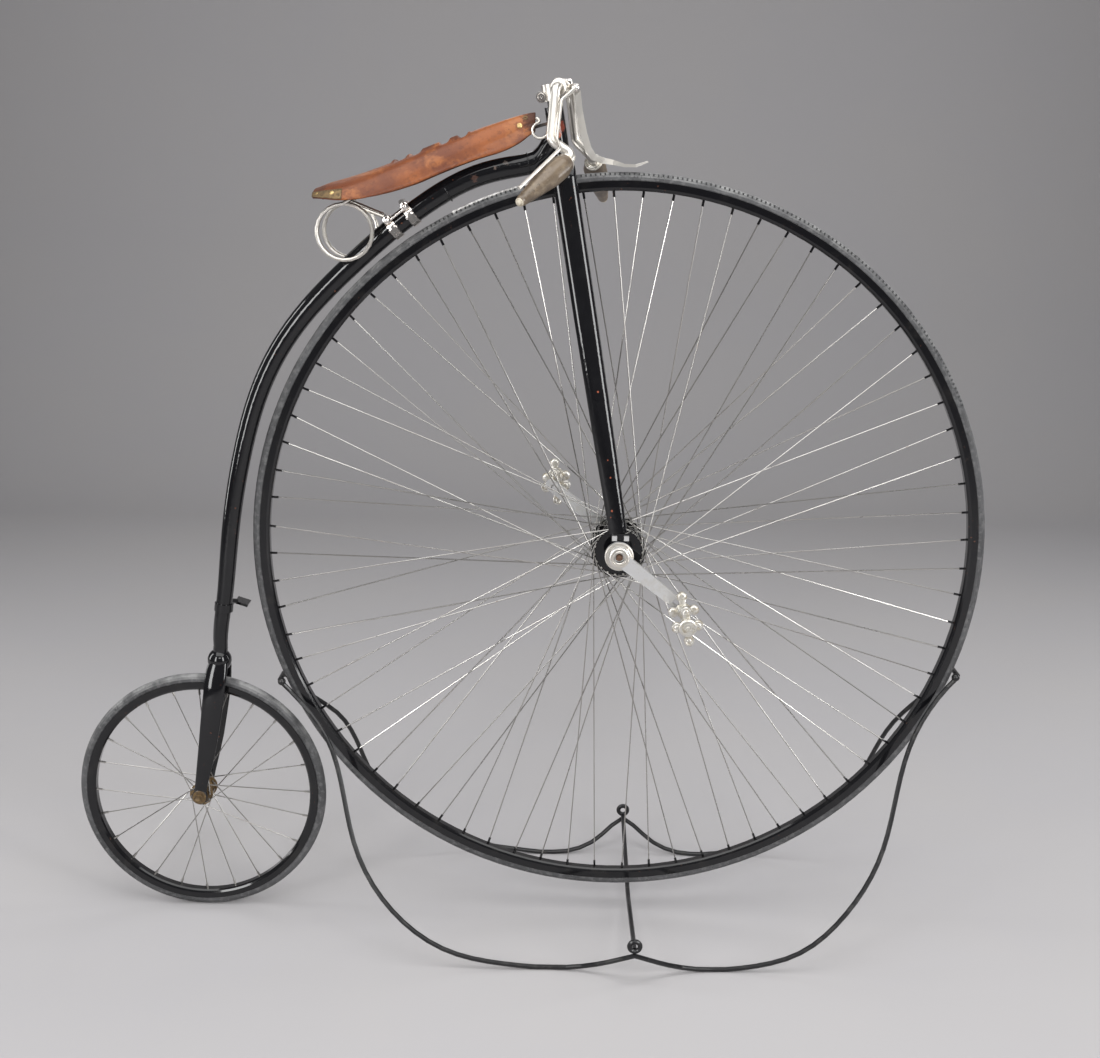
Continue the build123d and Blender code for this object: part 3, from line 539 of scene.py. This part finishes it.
def turn_profile(bm, profile, place, axis, steps=20):
    before = set(bm.verts)
    made = [bm.verts.new((r * MM, 0, h * MM)) for r, h in profile]
    rails = [bm.edges.new(pair) for pair in zip(made, made[1:])]
    bmesh.ops.spin(bm, geom=made + rails, cent=(0, 0, 0), axis=(0, 0, 1), angle=2 * math.pi, steps=steps,
                   use_merge=True)
    fresh = [v for v in bm.verts if v not in before]
    bmesh.ops.transform(bm, matrix=aimed(place, axis), verts=fresh)


def soften_edges(bm, verts, width=0.6):
    rims = list({e for v in verts for e in v.link_edges})
    bmesh.ops.bevel(bm, geom=rims, offset=width * MM, offset_type="OFFSET", segments=2, profile=0.5,
                    affect="EDGES", material=-1)


def nut(bm, place, axis, across, thick, sides=6):
    reach = across / 2 / math.cos(math.pi / sides) * MM
    made = bmesh.ops.create_cone(bm, cap_ends=True, segments=sides, radius1=reach, radius2=reach,
                                 depth=thick * MM, matrix=aimed(place, axis))["verts"]
    soften_edges(bm, made)


def block(bm, place, size, axis=(0, 0, 1), width=0.8):
    matrix = aimed(place, axis) @ Matrix.Diagonal((*size, 1.0))
    soften_edges(bm, bmesh.ops.create_cube(bm, size=MM, matrix=matrix)["verts"], width)


def rod(bm, start, end, radius, sides=12):
    bmesh.ops.create_cone(bm, cap_ends=True, segments=sides, radius1=radius * MM, radius2=radius * MM,
                          depth=(end - start).length, matrix=aimed((start + end) / 2, end - start))


def finish_piece(name, bm, material, body, angle=35.0):
    bmesh.ops.remove_doubles(bm, verts=bm.verts, dist=MERGE_DIST)
    bmesh.ops.recalc_face_normals(bm, faces=bm.faces)
    obj = new_object(name, bm)
    for face in obj.data.polygons:
        face.use_smooth = True
    obj.data.set_sharp_from_angle(angle=math.radians(angle))
    obj.data.materials.append(material)
    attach(obj, body)
    print(name, "faces:", len(obj.data.polygons))
    return obj


print("helpers ready")

# %% [markdown]
# Every spoke ends in a small domed head on its hub flange, on the face opposite the side it leaves. The
# heads are the bright dots round the black flange. They repeat a hundred times, so each is a coarse
# little sphere, pressed flat by its own matrix. The angles follow from the count, the hole circle and the
# crossing of the spokes.

# %% Spoke heads
FLANGES = (
    # body, name, centre x z, spokes a side, first angle, hole radius, flange centre y, rim radius, finish
    ("front_wheel", "front_spoke_heads", 0.0, 0.0, 38, 91.9, 45.0, 35.0, 653.5, nickel),
    ("rear_wheel", "rear_spoke_heads", -800.0, -502.0, 12, 90.0, 18.0, 20.0, 209.0, spoke_steel),
)
FLANGE_HALF, HEAD_R, HEAD_SQUASH = 2.5, 2.5, (1, 0.7, 1)
for body, name, cx, cz, count, first, hole_r, flange_y, rim_r, material in FLANGES:
    bm = bmesh.new()
    swing = math.acos(hole_r / rim_r)
    for side in (-1, 1):
        phase = math.radians(first + (0 if side < 0 else 180.0 / count))
        for k in range(count):
            ahead = 1 if k % 2 == 0 else -1
            a = phase + 2 * math.pi * k / count - ahead * swing
            y = side * (flange_y - ahead * FLANGE_HALF)
            place = at_hub(cx + hole_r * math.cos(a), y, cz + hole_r * math.sin(a))
            ball(bm, place, HEAD_R, 8, 5, HEAD_SQUASH)
    finish_piece(name, bm, material, body, 60)

# %% [markdown]
# The saddle is one stiff skin of leather, moulded over the irons: narrow at the nose, wide at the back,
# crowned along the middle. A subdivided grid is bent to that form by a table of stations, which keeps its
# edges clean. Along the ridge runs a slot with scalloped edges, and the sides end in a slightly rolled
# edge.

# %% Saddle form
STATIONS = (
    # x, ridge height, half width, side drop
    (-162.0, 787.0, 13.0, 30.0), (-176.0, 784.5, 19.0, 42.0), (-200.0, 778.0, 25.0, 51.0),
    (-226.0, 769.5, 29.0, 53.5), (-260.0, 758.0, 33.0, 51.5), (-297.0, 743.5, 37.0, 50.5),
    (-335.0, 729.5, 42.0, 52.0), (-374.0, 713.5, 50.0, 53.0), (-420.0, 696.0, 61.0, 50.0),
    (-462.0, 680.5, 72.0, 44.5), (-500.0, 668.5, 77.0, 35.5), (-530.0, 660.5, 70.0, 25.0),
    (-551.0, 650.0, 52.0, 13.5),
)
NOSE_X, TAIL_X = STATIONS[0][0], STATIONS[-1][0]
LEATHER_T, EDGE_ROUND = 0.0042, 0.0012
SLOT_FROM, SLOT_TO, SLOT_HALF = -285.0, -408.0, 5.0
SLOT_SPREAD, SLOT_LIFT, SLOT_OVER = 7.0, 3.5, 6.0
BITES = (-289.0, -322.0, -372.0, -398.0)
BITE_L, BITE_DEEP = 10.0, 8.5
LONG_CUTS, CROSS_CUTS = 96, 36
SMOOTH_REACH = 12.0
SIDE_FULL, FALL_POWER = 0.88, 1.15
FLARE_FROM, FLARE_OUT = 0.85, 1.8


def station(x):
    for (x1, *a), (x2, *b) in zip(STATIONS, STATIONS[1:]):
        if x2 <= x <= x1:
            t = (x1 - x) / (x1 - x2)
            return [p + (q - p) * t for p, q in zip(a, b)]
    return list(STATIONS[-1][1:] if x < TAIL_X else STATIONS[0][1:])


def smooth_station(x):
    near = [station(x + SMOOTH_REACH * k / 2) for k in (-2, -1, 0, 1, 2)]
    return [sum(row[i] for row in near) / len(near) for i in range(3)]


def saddle_point(u, v):
    x = NOSE_X + (TAIL_X - NOSE_X) * u
    ridge, half, drop = smooth_station(x)
    side = max(-1.0, min(1.0, v))
    y = half * math.sin(side * math.pi / 2) * (SIDE_FULL + (1 - SIDE_FULL) * abs(side))
    fall = drop * (1 - math.cos(side * math.pi / 2)) ** FALL_POWER
    flare = FLARE_OUT * max(0.0, abs(side) - FLARE_FROM) / (1 - FLARE_FROM)
    return x, y + math.copysign(flare, side), ridge - fall


bm = bmesh.new()
bmesh.ops.create_grid(bm, x_segments=LONG_CUTS, y_segments=CROSS_CUTS, size=1.0)
slot_faces = []
for face in bm.faces:
    middle = face.calc_center_median()
    x = NOSE_X + (TAIL_X - NOSE_X) * (middle.x + 1) / 2
    if SLOT_TO < x < SLOT_FROM and abs(middle.y) < 1.2 / CROSS_CUTS:
        slot_faces.append(face)
bmesh.ops.delete(bm, geom=slot_faces, context="FACES")
for v in bm.verts:
    x, y, z = saddle_point((v.co.x + 1) / 2, v.co.y)
    near_slot = math.exp(-((abs(y) - SLOT_HALF) / SLOT_SPREAD) ** 2)
    if SLOT_TO - SLOT_OVER < x < SLOT_FROM + SLOT_OVER:
        z += SLOT_LIFT * near_slot
        for bite in BITES:
            z -= BITE_DEEP * near_slot * max(0.0, 1 - ((x - bite) / BITE_L) ** 2)
    v.co = at_hub(x, y, z)
saddle = finish_piece("saddle_cover", bm, leather, "rear_frame", 60)
wall = saddle.modifiers.new("leather_thickness", "SOLIDIFY")
wall.thickness, wall.offset = LEATHER_T, -1.0
soften = saddle.modifiers.new("rounded_edges", "BEVEL")
soften.width, soften.segments, soften.limit_method = EDGE_ROUND, 2, "ANGLE"
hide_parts("saddle_leather")
print("saddle replaces its plain solid")

# %% [markdown]
# Brass rivets hold the skin: a large domed one and an eyelet at the nose, and two more through the metal
# strip at the back edge. The strip itself is a bent plate that wraps the corner of the saddle. It is cut
# from the same form, a little outside the skin, so it fits without any guess.

# %% Saddle rivets and cantle strip
RIVETS = (
    # along, across, radius, dome
    (0.070, -0.62, 5.2, 2.2), (0.070, 0.62, 5.2, 2.2), (0.905, -0.80, 4.6, 2.4), (0.905, 0.80, 4.6, 2.4),
    (0.975, -0.80, 3.6, 1.8), (0.975, 0.80, 3.6, 1.8),
)


def saddle_normal(u, v, step=0.01):
    here = Vector(saddle_point(u, v))
    along, across = Vector(saddle_point(u + step, v)) - here, Vector(saddle_point(u, v + step)) - here
    normal = along.cross(across).normalized()
    return normal if normal.z > 0 else -normal


def on_saddle(bm, profile, u, v):
    turn_profile(bm, profile, at_hub(*saddle_point(u, v)), saddle_normal(u, v), 18)


def dome(radius, height, rim=0.5, rows=4, depth=1.5):
    profile = [(0.0, height)]
    for k in range(1, rows + 1):
        a = math.pi / 2 * k / rows
        profile.append((radius * math.sin(a), rim + (height - rim) * math.cos(a)))
    return profile + [(radius, -depth), (0.0, -depth)]


bm = bmesh.new()
for u, v, radius, height in RIVETS:
    on_saddle(bm, dome(radius, height), u, v)
finish_piece("saddle_rivets", bm, brass, "rear_frame")

EYELET = ((2.0, -1.5), (2.0, 0.9), (2.8, 1.4), (4.0, 1.0), (4.3, 0.2), (4.3, -1.5), (2.0, -1.5))
EYELET_ALONG, EYELET_ACROSS = 0.045, 0.42
bm = bmesh.new()
for side in (-1, 1):
    on_saddle(bm, EYELET, EYELET_ALONG, side * EYELET_ACROSS)
finish_piece("saddle_eyelets", bm, dirty_brass, "rear_frame")

STRIP_FROM, STRIP_TO, STRIP_INNER, STRIP_WIDE = 0.86, 0.999, 0.70, 0.285
STRIP_LONG, STRIP_CROSS, STRIP_LIFT, STRIP_T = 18, 6, 0.0009, 0.0012
for side, name in ((-1, "cantle_strip_right"), (1, "cantle_strip_left")):
    bm = bmesh.new()
    bmesh.ops.create_grid(bm, x_segments=STRIP_LONG, y_segments=STRIP_CROSS, size=1.0)
    for v in bm.verts:
        u = STRIP_FROM + (STRIP_TO - STRIP_FROM) * (v.co.x + 1) / 2
        across = side * (STRIP_INNER + STRIP_WIDE * (v.co.y + 1) / 2)
        v.co = at_hub(*saddle_point(u, across)) + saddle_normal(u, across) * STRIP_LIFT
    strip = finish_piece(name, bm, dirty_brass, "rear_frame", 60)
    wall = strip.modifiers.new("plate_thickness", "SOLIDIFY")
    wall.thickness, wall.offset = STRIP_T, 0.0

# %% [markdown]
# The head carries small bright fittings: a ringed nut on each end of the pinch bolt, a square headed bolt
# on top, and domed nuts on the pivot of the brake. They are turned or cut on the lathe helpers, which
# keeps each one to a short profile.

# %% Head fittings
PINCH_NUT = ((0.0, 3.4), (1.9, 3.4), (2.3, 5.2), (5.2, 5.2), (6.0, 4.0), (6.3, 2.4), (8.7, 2.2), (9.3, 1.3),
             (9.3, 0.0), (0.0, 0.0))
PIVOT_NUT = ((0.0, 5.0), (2.2, 4.7), (4.2, 3.5), (5.2, 2.0), (6.8, 1.6), (7.2, 0.6), (7.2, -2.0), (0.0, -2.0))
RAKE, AXIS_AHEAD = math.tan(math.radians(9.6)), 4.5
PINCH_HEIGHT, PINCH_BEHIND, PINCH_OUT = 812, 19, 14
PIVOT_X, PIVOT_HEIGHT, PIVOT_OUT = -92, 828, 17
PIVOT_ROD_FROM, PIVOT_ROD_TO, PIVOT_ROD_R = 11, 17.5, 4.0
TOP_BOLT_AT, TOP_BOLT_WAY = (-104, -9.5, 837.5), (-0.17, 0, 1)
TOP_BOLT_SIDE, TOP_BOLT_ROUND = 10.5, 1.2


def axis_x(height):
    return AXIS_AHEAD - RAKE * height


bm = bmesh.new()
for side in (-1, 1):
    pinch = at_hub(axis_x(PINCH_HEIGHT) - PINCH_BEHIND, side * PINCH_OUT, PINCH_HEIGHT)
    turn_profile(bm, PINCH_NUT, pinch, (0, side, 0), 24)
    turn_profile(bm, PIVOT_NUT, at_hub(PIVOT_X, side * PIVOT_OUT, PIVOT_HEIGHT), (0, side, 0), 20)
block(bm, at_hub(*TOP_BOLT_AT), (TOP_BOLT_SIDE,) * 3, TOP_BOLT_WAY, TOP_BOLT_ROUND)
rod_start, rod_end = [at_hub(PIVOT_X, y, PIVOT_HEIGHT) for y in (PIVOT_ROD_FROM, PIVOT_ROD_TO)]
rod(bm, rod_start, rod_end, PIVOT_ROD_R)
finish_piece("head_fittings", bm, bright_nickel, "front_frame")

# %% [markdown]
# Each grip is held between a metal ferrule and a pale turned cap at its tip. The grip lies along a
# slanting line, so both rings are turned about that same line. The line comes from the handlebar's own
# layout: out, ahead and up, then turned about the head.

# %% Grip ferrules and caps
BAR_TURN = math.radians(24.0)
GRIP_FOOT, GRIP_WAY, GRIP_LONG = (56.9, 58.7, 703.1), (0.859, -0.212, -0.466), 146.0
FERRULE = ((8.6, -1.5), (11.5, -1.5), (13.4, -0.4), (13.8, 1.2), (15.6, 1.6), (16.4, 3.2), (15.9, 4.6),
           (8.6, 4.6), (8.6, -1.5))
TIP_CAP = ((0.0, 5.4), (2.6, 4.9), (4.9, 3.4), (6.0, 1.2), (7.4, 0.6), (7.9, -1.2), (7.4, -3.0), (0.0, -3.0))


def on_bar(out, ahead, height, side):
    x = axis_x(PIVOT_HEIGHT) + side * out * math.sin(BAR_TURN) + ahead * math.cos(BAR_TURN)
    return Vector((x, side * out * math.cos(BAR_TURN) - ahead * math.sin(BAR_TURN), height))


horn_cap = finish("pale_horn", (0.50, 0.45, 0.36), 0.35, layers=(
    patchy(160.0, 0.45, 0.65, (0.30, 0.25, 0.18), 0.5, None, 0.8),), coat=0.2)
rings, caps = bmesh.new(), bmesh.new()
for side in (-1, 1):
    foot = on_bar(*GRIP_FOOT, side)
    beyond = [start + GRIP_LONG * step for start, step in zip(GRIP_FOOT, GRIP_WAY)]
    way = (on_bar(*beyond, side) - foot).normalized()
    tip = foot + way * GRIP_LONG
    turn_profile(rings, FERRULE, at_hub(*foot), way, 26)
    turn_profile(caps, TIP_CAP, at_hub(*tip), way, 22)
finish_piece("grip_ferrules", rings, pedal_metal, "front_frame")
finish_piece("grip_caps", caps, horn_cap, "front_frame")

# %% [markdown]
# The cranks are keyed to the axle. On the face of each boss there is a raised ring round a recess, and in
# the recess sits a dark hexagon bolt. A cotter end shows beside it. The trims turn with the front wheel.

# %% Crank trims
CRANK_FACE, RING_FACE = 88.0, 76.0
BOSS_RING = ((9.0, -4.0), (9.0, 1.0), (10.2, 1.9), (12.4, 1.9), (13.6, 0.6), (14.6, 0.5), (15.2, 1.3),
             (17.4, 1.2), (18.6, 0.3), (18.8, -1.5), (9.0, -4.0))
COLLAR_RING = ((19.4, -1.5), (19.4, 1.2), (20.6, 1.9), (22.4, 1.6), (23.0, 0.4), (24.2, 0.3), (24.8, 1.0),
               (26.2, 0.6), (26.9, -1.0), (19.4, -1.5))
COTTER_DEG, COTTER_AT, COTTER_OUT, COTTER_HALF, COTTER_R = 28.0, 19.5, 81.0, 8.0, 3.4
BOLT_DEEP, BOLT_ACROSS, BOLT_THICK = 6.5, 12.5, 5.0
bm, bolts = bmesh.new(), bmesh.new()
for side in (-1, 1):
    turn_profile(bm, BOSS_RING, at_hub(0, side * CRANK_FACE, 0), (0, side, 0), 36)
    turn_profile(bm, COLLAR_RING, at_hub(0, side * RING_FACE, 0), (0, side, 0), 40)
    a = math.radians(COTTER_DEG + (0.0 if side < 0 else 180.0))
    here = Vector((COTTER_AT * math.cos(a), side * COTTER_OUT, COTTER_AT * math.sin(a)))
    along = Vector((-math.sin(a), 0, math.cos(a))) * COTTER_HALF
    rod(bm, at_hub(*(here - along)), at_hub(*(here + along)), COTTER_R)
    nut(bolts, at_hub(0, side * (CRANK_FACE - BOLT_DEEP), 0), (0, side, 0), BOLT_ACROSS, BOLT_THICK)
finish_piece("crank_rings", bm, nickel, "front_wheel")
rusty = finish("rusty_bolt", (0.16, 0.085, 0.05), 0.7, 0.3, layers=(
    patchy(240.0, 0.42, 0.6, (0.07, 0.04, 0.028), 0.85, 0.1, 0.8),),
    bumps=((600.0, 0.4, 0.0006),))
finish_piece("crank_bolts", bolts, rusty, "front_wheel")

# %% [markdown]
# A pedal is a cast cage: two cross shaped plates with round ends, a bellied barrel between them, and a
# dust cap turned with fine rings. The plates are in the frame already. Round arms, knobs, the belly and
# the rings are what catches the light, so those are added here.

# %% Pedal castings
CRANK_L, CRANK_DEG = 150.0, -38.0
PEDAL_IN, PEDAL_OUT, PEDAL_CAP = 102.0, 206.0, 213.0
PEDAL_TURN, LOBE_SHORT, LOBE_LONG, PLATE_T = 8.0, 19.0, 27.0, 9.0
ARM_SHARE, ARM_MIDDLE, ARM_WIDE, ARM_THICK, ARM_ROUND = 0.9, 0.55, 13.0, 11.0, 2.4
BARREL_SEAT = 2.0
LOBE_DOME = ((0.0, 1.6), (3.0, 1.5), (4.4, 1.0), (4.9, 0.4), (6.8, 1.2), (8.2, 1.0), (9.2, -0.2), (9.4, -3.0),
             (9.4, -8.0), (0.0, -8.0))
BACK_DOME = ((0.0, 1.4), (4.0, 1.3), (6.8, 0.9), (8.6, -0.4), (9.2, -2.0), (0.0, -2.0))
DUST_CAP = ((0.0, 3.4), (2.0, 3.2), (3.0, 1.9), (3.4, 0.6), (5.2, 0.6), (5.8, 1.9), (7.6, 1.9), (8.4, 0.6),
            (10.2, 0.5), (10.9, 1.5), (12.8, 1.5), (14.0, 0.4), (16.2, -0.4), (16.7, -2.0), (16.7, -5.5),
            (15.6, -6.6), (0.0, -6.6))
HALF_BARREL = ((8.6, 0.0), (11.2, 1.0), (13.4, 6.0), (13.6, 10.0), (12.0, 15.0), (10.2, 18.0), (10.6, 20.0),
               (9.2, 22.0))
BARREL_L = 100.0
BARREL = HALF_BARREL + tuple((r, BARREL_L - h) for r, h in reversed(HALF_BARREL))
for side, name in ((-1, "right"), (1, "left")):
    bm = bmesh.new()
    outward, inward = (0, side, 0), (0, -side, 0)
    crank = math.radians(CRANK_DEG + (0.0 if side < 0 else 180.0))
    px, pz = CRANK_L * math.cos(crank), CRANK_L * math.sin(crank)
    turn_profile(bm, DUST_CAP, at_hub(px, side * PEDAL_CAP, pz), outward, 32)
    turn_profile(bm, BARREL, at_hub(px, side * (PEDAL_IN + BARREL_SEAT), pz), outward, 24)
    for k in range(4):
        a = math.radians(PEDAL_TURN + 90.0 * k)
        reach = LOBE_SHORT if k % 2 == 0 else LOBE_LONG
        out, off = Vector((math.cos(a), 0, math.sin(a))), Vector(outward)
        turned = Matrix((out, off.cross(out), off)).transposed().to_4x4()
        shape = turned @ Matrix.Diagonal((reach * ARM_SHARE, ARM_WIDE, ARM_THICK, 1.0))
        for y in (PEDAL_IN + PLATE_T / 2, PEDAL_OUT - PLATE_T / 2):
            middle = at_hub(px, side * y, pz) + out * reach * ARM_MIDDLE * MM
            arm = bmesh.ops.create_cube(bm, size=MM, matrix=Matrix.Translation(middle) @ shape)["verts"]
            soften_edges(bm, arm, ARM_ROUND)
        for profile, y, way in ((LOBE_DOME, PEDAL_OUT, outward), (BACK_DOME, PEDAL_OUT - PLATE_T, inward),
                                (LOBE_DOME, PEDAL_IN, inward), (BACK_DOME, PEDAL_IN + PLATE_T, outward)):
            turn_profile(bm, profile, at_hub(px, side * y, pz) + out * reach * MM, way, 20)
    finish_piece(f"pedal_castings_{name}", bm, pedal_metal, f"pedal_{name}")

# %% [markdown]
# Where the frame tube was brazed there are two thin raised seams, one by the neck and one behind the
# saddle's middle. Each is a narrow ring turned about the tube's own direction there. The ends of the rear
# axle get domed caps, and the ends of the stand's rods get round knobs.

# %% Seams, axle caps and knobs
SEAM = ((17.5, -1.6), (19.9, -0.9), (20.3, 0.0), (19.9, 0.9), (17.5, 1.6), (17.5, -1.6))
SEAMS_AT = (((-318, 0, 648.6), (-0.88, 0, -0.47)), ((-173, 0, 698.8), (-0.976, 0, -0.216)))
bm = bmesh.new()
for place, way in SEAMS_AT:
    turn_profile(bm, SEAM, at_hub(*place), way, 40)
finish_piece("tube_seams", bm, enamel, "rear_frame", 60)

REAR_X, REAR_Z = -800, -502
AXLE_CAP = ((0.0, 3.4), (2.6, 3.0), (4.6, 1.6), (5.4, 0.0), (5.4, -3.0), (0.0, -3.0))
WASHER = ((5.0, 1.8), (12.6, 1.8), (13.4, 1.0), (13.4, 0.0), (5.0, 0.0), (5.0, 1.8))
AXLE_OUT, WASHER_OUT = 53, 38
bm = bmesh.new()
for side in (-1, 1):
    turn_profile(bm, AXLE_CAP, at_hub(REAR_X, side * AXLE_OUT, REAR_Z), (0, side, 0), 20)
    turn_profile(bm, WASHER, at_hub(REAR_X, side * WASHER_OUT, REAR_Z), (0, side, 0), 28)
finish_piece("rear_axle_caps", bm, dirty_brass, "rear_frame")

KNOBS_AT, KNOB_R, KNOB_OUT = ((-636, -268), (645, -241)), 7.6, 24
bm = bmesh.new()
for x, z in KNOBS_AT:
    for side in (-1, 1):
        ball(bm, at_hub(x, side * KNOB_OUT, z), KNOB_R, 20, 12)
finish_piece("stand_knobs", bm, stand_black, "front_frame")

# %% [markdown]
# The spring bands are clamped by nuts, and a short link rod joins the two on each side. Square plated
# cheeks sit below them, against the tube. Blocks and cones with softened edges are enough here, because
# every real face is flat and only its edges were filed.

# %% Band fittings
BANDS = (
    # nut x, nut z, cheek x, cheek z, link x, link z
    (-392.3, 622.7, -382.7, 605.5, -392.3, 618.5), (-423.7, 598.0, -412.5, 582.5, -423.7, 594.0),
)
NUT_OUT, NUT_ACROSS, NUT_THICK, CAP_OUT = 22.5, 12.0, 6.0, 25.0
CHEEK_OUT, CHEEK_SIZE, CHEEK_ROUND = 21.5, (14.5, 13.5, 7.0), 1.6
LINK_OUT, LINK_R = 23.5, 2.6
bm = bmesh.new()
for side in (-1, 1):
    for nut_x, nut_z, cheek_x, cheek_z, *_ in BANDS:
        nut(bm, at_hub(nut_x, side * NUT_OUT, nut_z), (0, side, 0), NUT_ACROSS, NUT_THICK)
        turn_profile(bm, PIVOT_NUT, at_hub(nut_x, side * CAP_OUT, nut_z), (0, side, 0), 16)
        block(bm, at_hub(cheek_x, side * CHEEK_OUT, cheek_z), CHEEK_SIZE, (0, side, 0), CHEEK_ROUND)
    upper, lower = [at_hub(band[4], side * LINK_OUT, band[5]) for band in BANDS]
    rod(bm, upper, lower, LINK_R)
finish_piece("band_fittings", bm, bright_nickel, "rear_frame")

# %% [markdown]
# The rear fork hangs from a round socket under the backbone and carries the small wheel between two oval
# blades that taper to flat eyes at the axle. On the real one they are forged and filed smooth. Each blade
# here is a row of ovals, bridged one to the next, because a bridge follows the gentle swelling that one
# straight taper can't give.

# %% Rear fork form
FORK_OVALS = (
    # x, y out, z, half width along, half width across
    (-758.5, 14.0, -236.0, 18.5, 8.0), (-761.0, 19.0, -250.0, 20.6, 7.6), (-763.0, 24.0, -266.0, 21.0, 7.1),
    (-765.0, 29.0, -288.0, 20.8, 6.5), (-769.5, 30.8, -320.0, 20.3, 6.3), (-775.0, 32.0, -358.0, 19.2, 6.2),
    (-781.0, 32.8, -398.0, 17.6, 6.0), (-788.0, 33.0, -436.0, 15.4, 5.6), (-795.0, 33.0, -472.0, 12.8, 5.2),
    (-800.0, 33.0, -500.0, 11.4, 5.0),
)
FORK_EYE = ((0.0, 5.0), (13.4, 5.0), (14.6, 4.4), (15.0, 3.2), (15.0, -3.2), (14.6, -4.4), (13.4, -5.0),
            (0.0, -5.0))
EYE_OUT, OVAL_SIDES = 33, 32
SOCKET_AT, SOCKET_BALL_R = (-758.5, 0, -234), 23.0
NECK_TOP, NECK_FOOT, NECK_R = (-755.6, 0, -208), (-758.0, 0, -230), 13.9
ENDS = (0, len(FORK_OVALS) - 1)
bm = bmesh.new()
for side in (-1, 1):
    rings = []
    for k, (x, y, z, along, across) in enumerate(FORK_OVALS):
        place = Matrix.Translation(at_hub(x, side * y, z)) @ Matrix.Diagonal((along, across, 1.0, 1.0))
        made = bmesh.ops.create_circle(bm, cap_ends=k in ENDS, segments=OVAL_SIDES, radius=MM, matrix=place)
        rings.append(list({e for v in made["verts"] for e in v.link_edges}))
    for upper, lower in zip(rings, rings[1:]):
        bmesh.ops.bridge_loops(bm, edges=upper + lower)
    turn_profile(bm, FORK_EYE, at_hub(REAR_X, side * EYE_OUT, REAR_Z), (0, side, 0), 32)
ball(bm, at_hub(*SOCKET_AT), SOCKET_BALL_R, 32, 20)
rod(bm, at_hub(*NECK_TOP), at_hub(*NECK_FOOT), NECK_R, 28)
rear_fork_form = finish_piece("rear_fork_form", bm, enamel, "rear_frame", 50)
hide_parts("rear_fork")

# %% [markdown]
# The front tyre keeps part of its tread: short cross ribs along both shoulders near the top, each a few
# millimetres long. A pale bead of old cement lies along the crown behind the grip, with a knob at its
# end. The ribs repeat hundreds of times, so each is one plain little box. The bead is a small circle spun
# about the hub.

# %% Tyre tread
TREAD_FROM, TREAD_TO, TREAD_STEP, TREAD_R, TREAD_Y = 24.0, 122.0, 0.72, 682.6, 7.9
TREAD_LEAN, TREAD_OUT, RIB_SIZE = 0.68, 0.73, (2.6, 4.6, 1.2)
tread_rubber = finish("tread_rubber", (0.018, 0.018, 0.019), 0.8, layers=(
    patchy(180.0, 0.45, 0.6, (0.05, 0.05, 0.05), 0.9, None, 0.7),))
bm = bmesh.new()
degrees = TREAD_FROM
while degrees < TREAD_TO:
    a = math.radians(degrees)
    for side in (-1, 1):
        out = Vector((math.cos(a) * TREAD_LEAN, side * TREAD_OUT, math.sin(a) * TREAD_LEAN))
        along = Vector((-math.sin(a), 0, math.cos(a)))
        turned = Matrix((along, out.cross(along), out)).transposed().to_4x4()
        place = Matrix.Translation(at_hub(TREAD_R * math.cos(a), side * TREAD_Y, TREAD_R * math.sin(a)))
        bmesh.ops.create_cube(bm, size=MM, matrix=place @ turned @ Matrix.Diagonal((*RIB_SIZE, 1.0)))
    degrees += TREAD_STEP
finish_piece("tyre_tread", bm, tread_rubber, "front_wheel", 60)

BEAD_FROM, BEAD_TO, BEAD_STEPS = math.radians(104.0), math.radians(116.6), 24
BEAD_AT, BEAD_SIDE, BEAD_R, KNOB_END_R = 685.3, -4.5, 2.1, 3.4
cement = finish("pale_cement", (0.72, 0.71, 0.69), 0.55, layers=(
    patchy(120.0, 0.42, 0.62, (0.22, 0.21, 0.20), 0.8, None, 0.8),))


def on_crown(a):
    return at_hub(BEAD_AT * math.cos(a), BEAD_SIDE, BEAD_AT * math.sin(a))


bm = bmesh.new()
made = bmesh.ops.create_circle(
    bm, cap_ends=False, segments=8, radius=BEAD_R * MM,
    matrix=aimed(on_crown(BEAD_FROM), (-math.sin(BEAD_FROM), 0, math.cos(BEAD_FROM))))["verts"]
loop = list({e for v in made for e in v.link_edges})
bmesh.ops.spin(bm, geom=made + loop, cent=HUB, axis=(0, -1, 0), angle=BEAD_TO - BEAD_FROM, steps=BEAD_STEPS,
               use_merge=False)
bmesh.ops.holes_fill(bm, edges=[e for e in bm.edges if e.is_boundary])
ball(bm, on_crown(BEAD_TO), KNOB_END_R, 14, 8)
finish_piece("cement_bead", bm, cement, "front_wheel", 60)

# %% [markdown]
# Both boxes, of the solids and of the dressed part, are printed here, measured in the same frame. The
# dressed part has to stay inside the box of its solids.

# %% Box record and finish
visual_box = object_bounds()
for label, box in (("cad", cad_box), ("visual", visual_box)):
    print(label, [[round(c, 3) for c in p] for p in box])
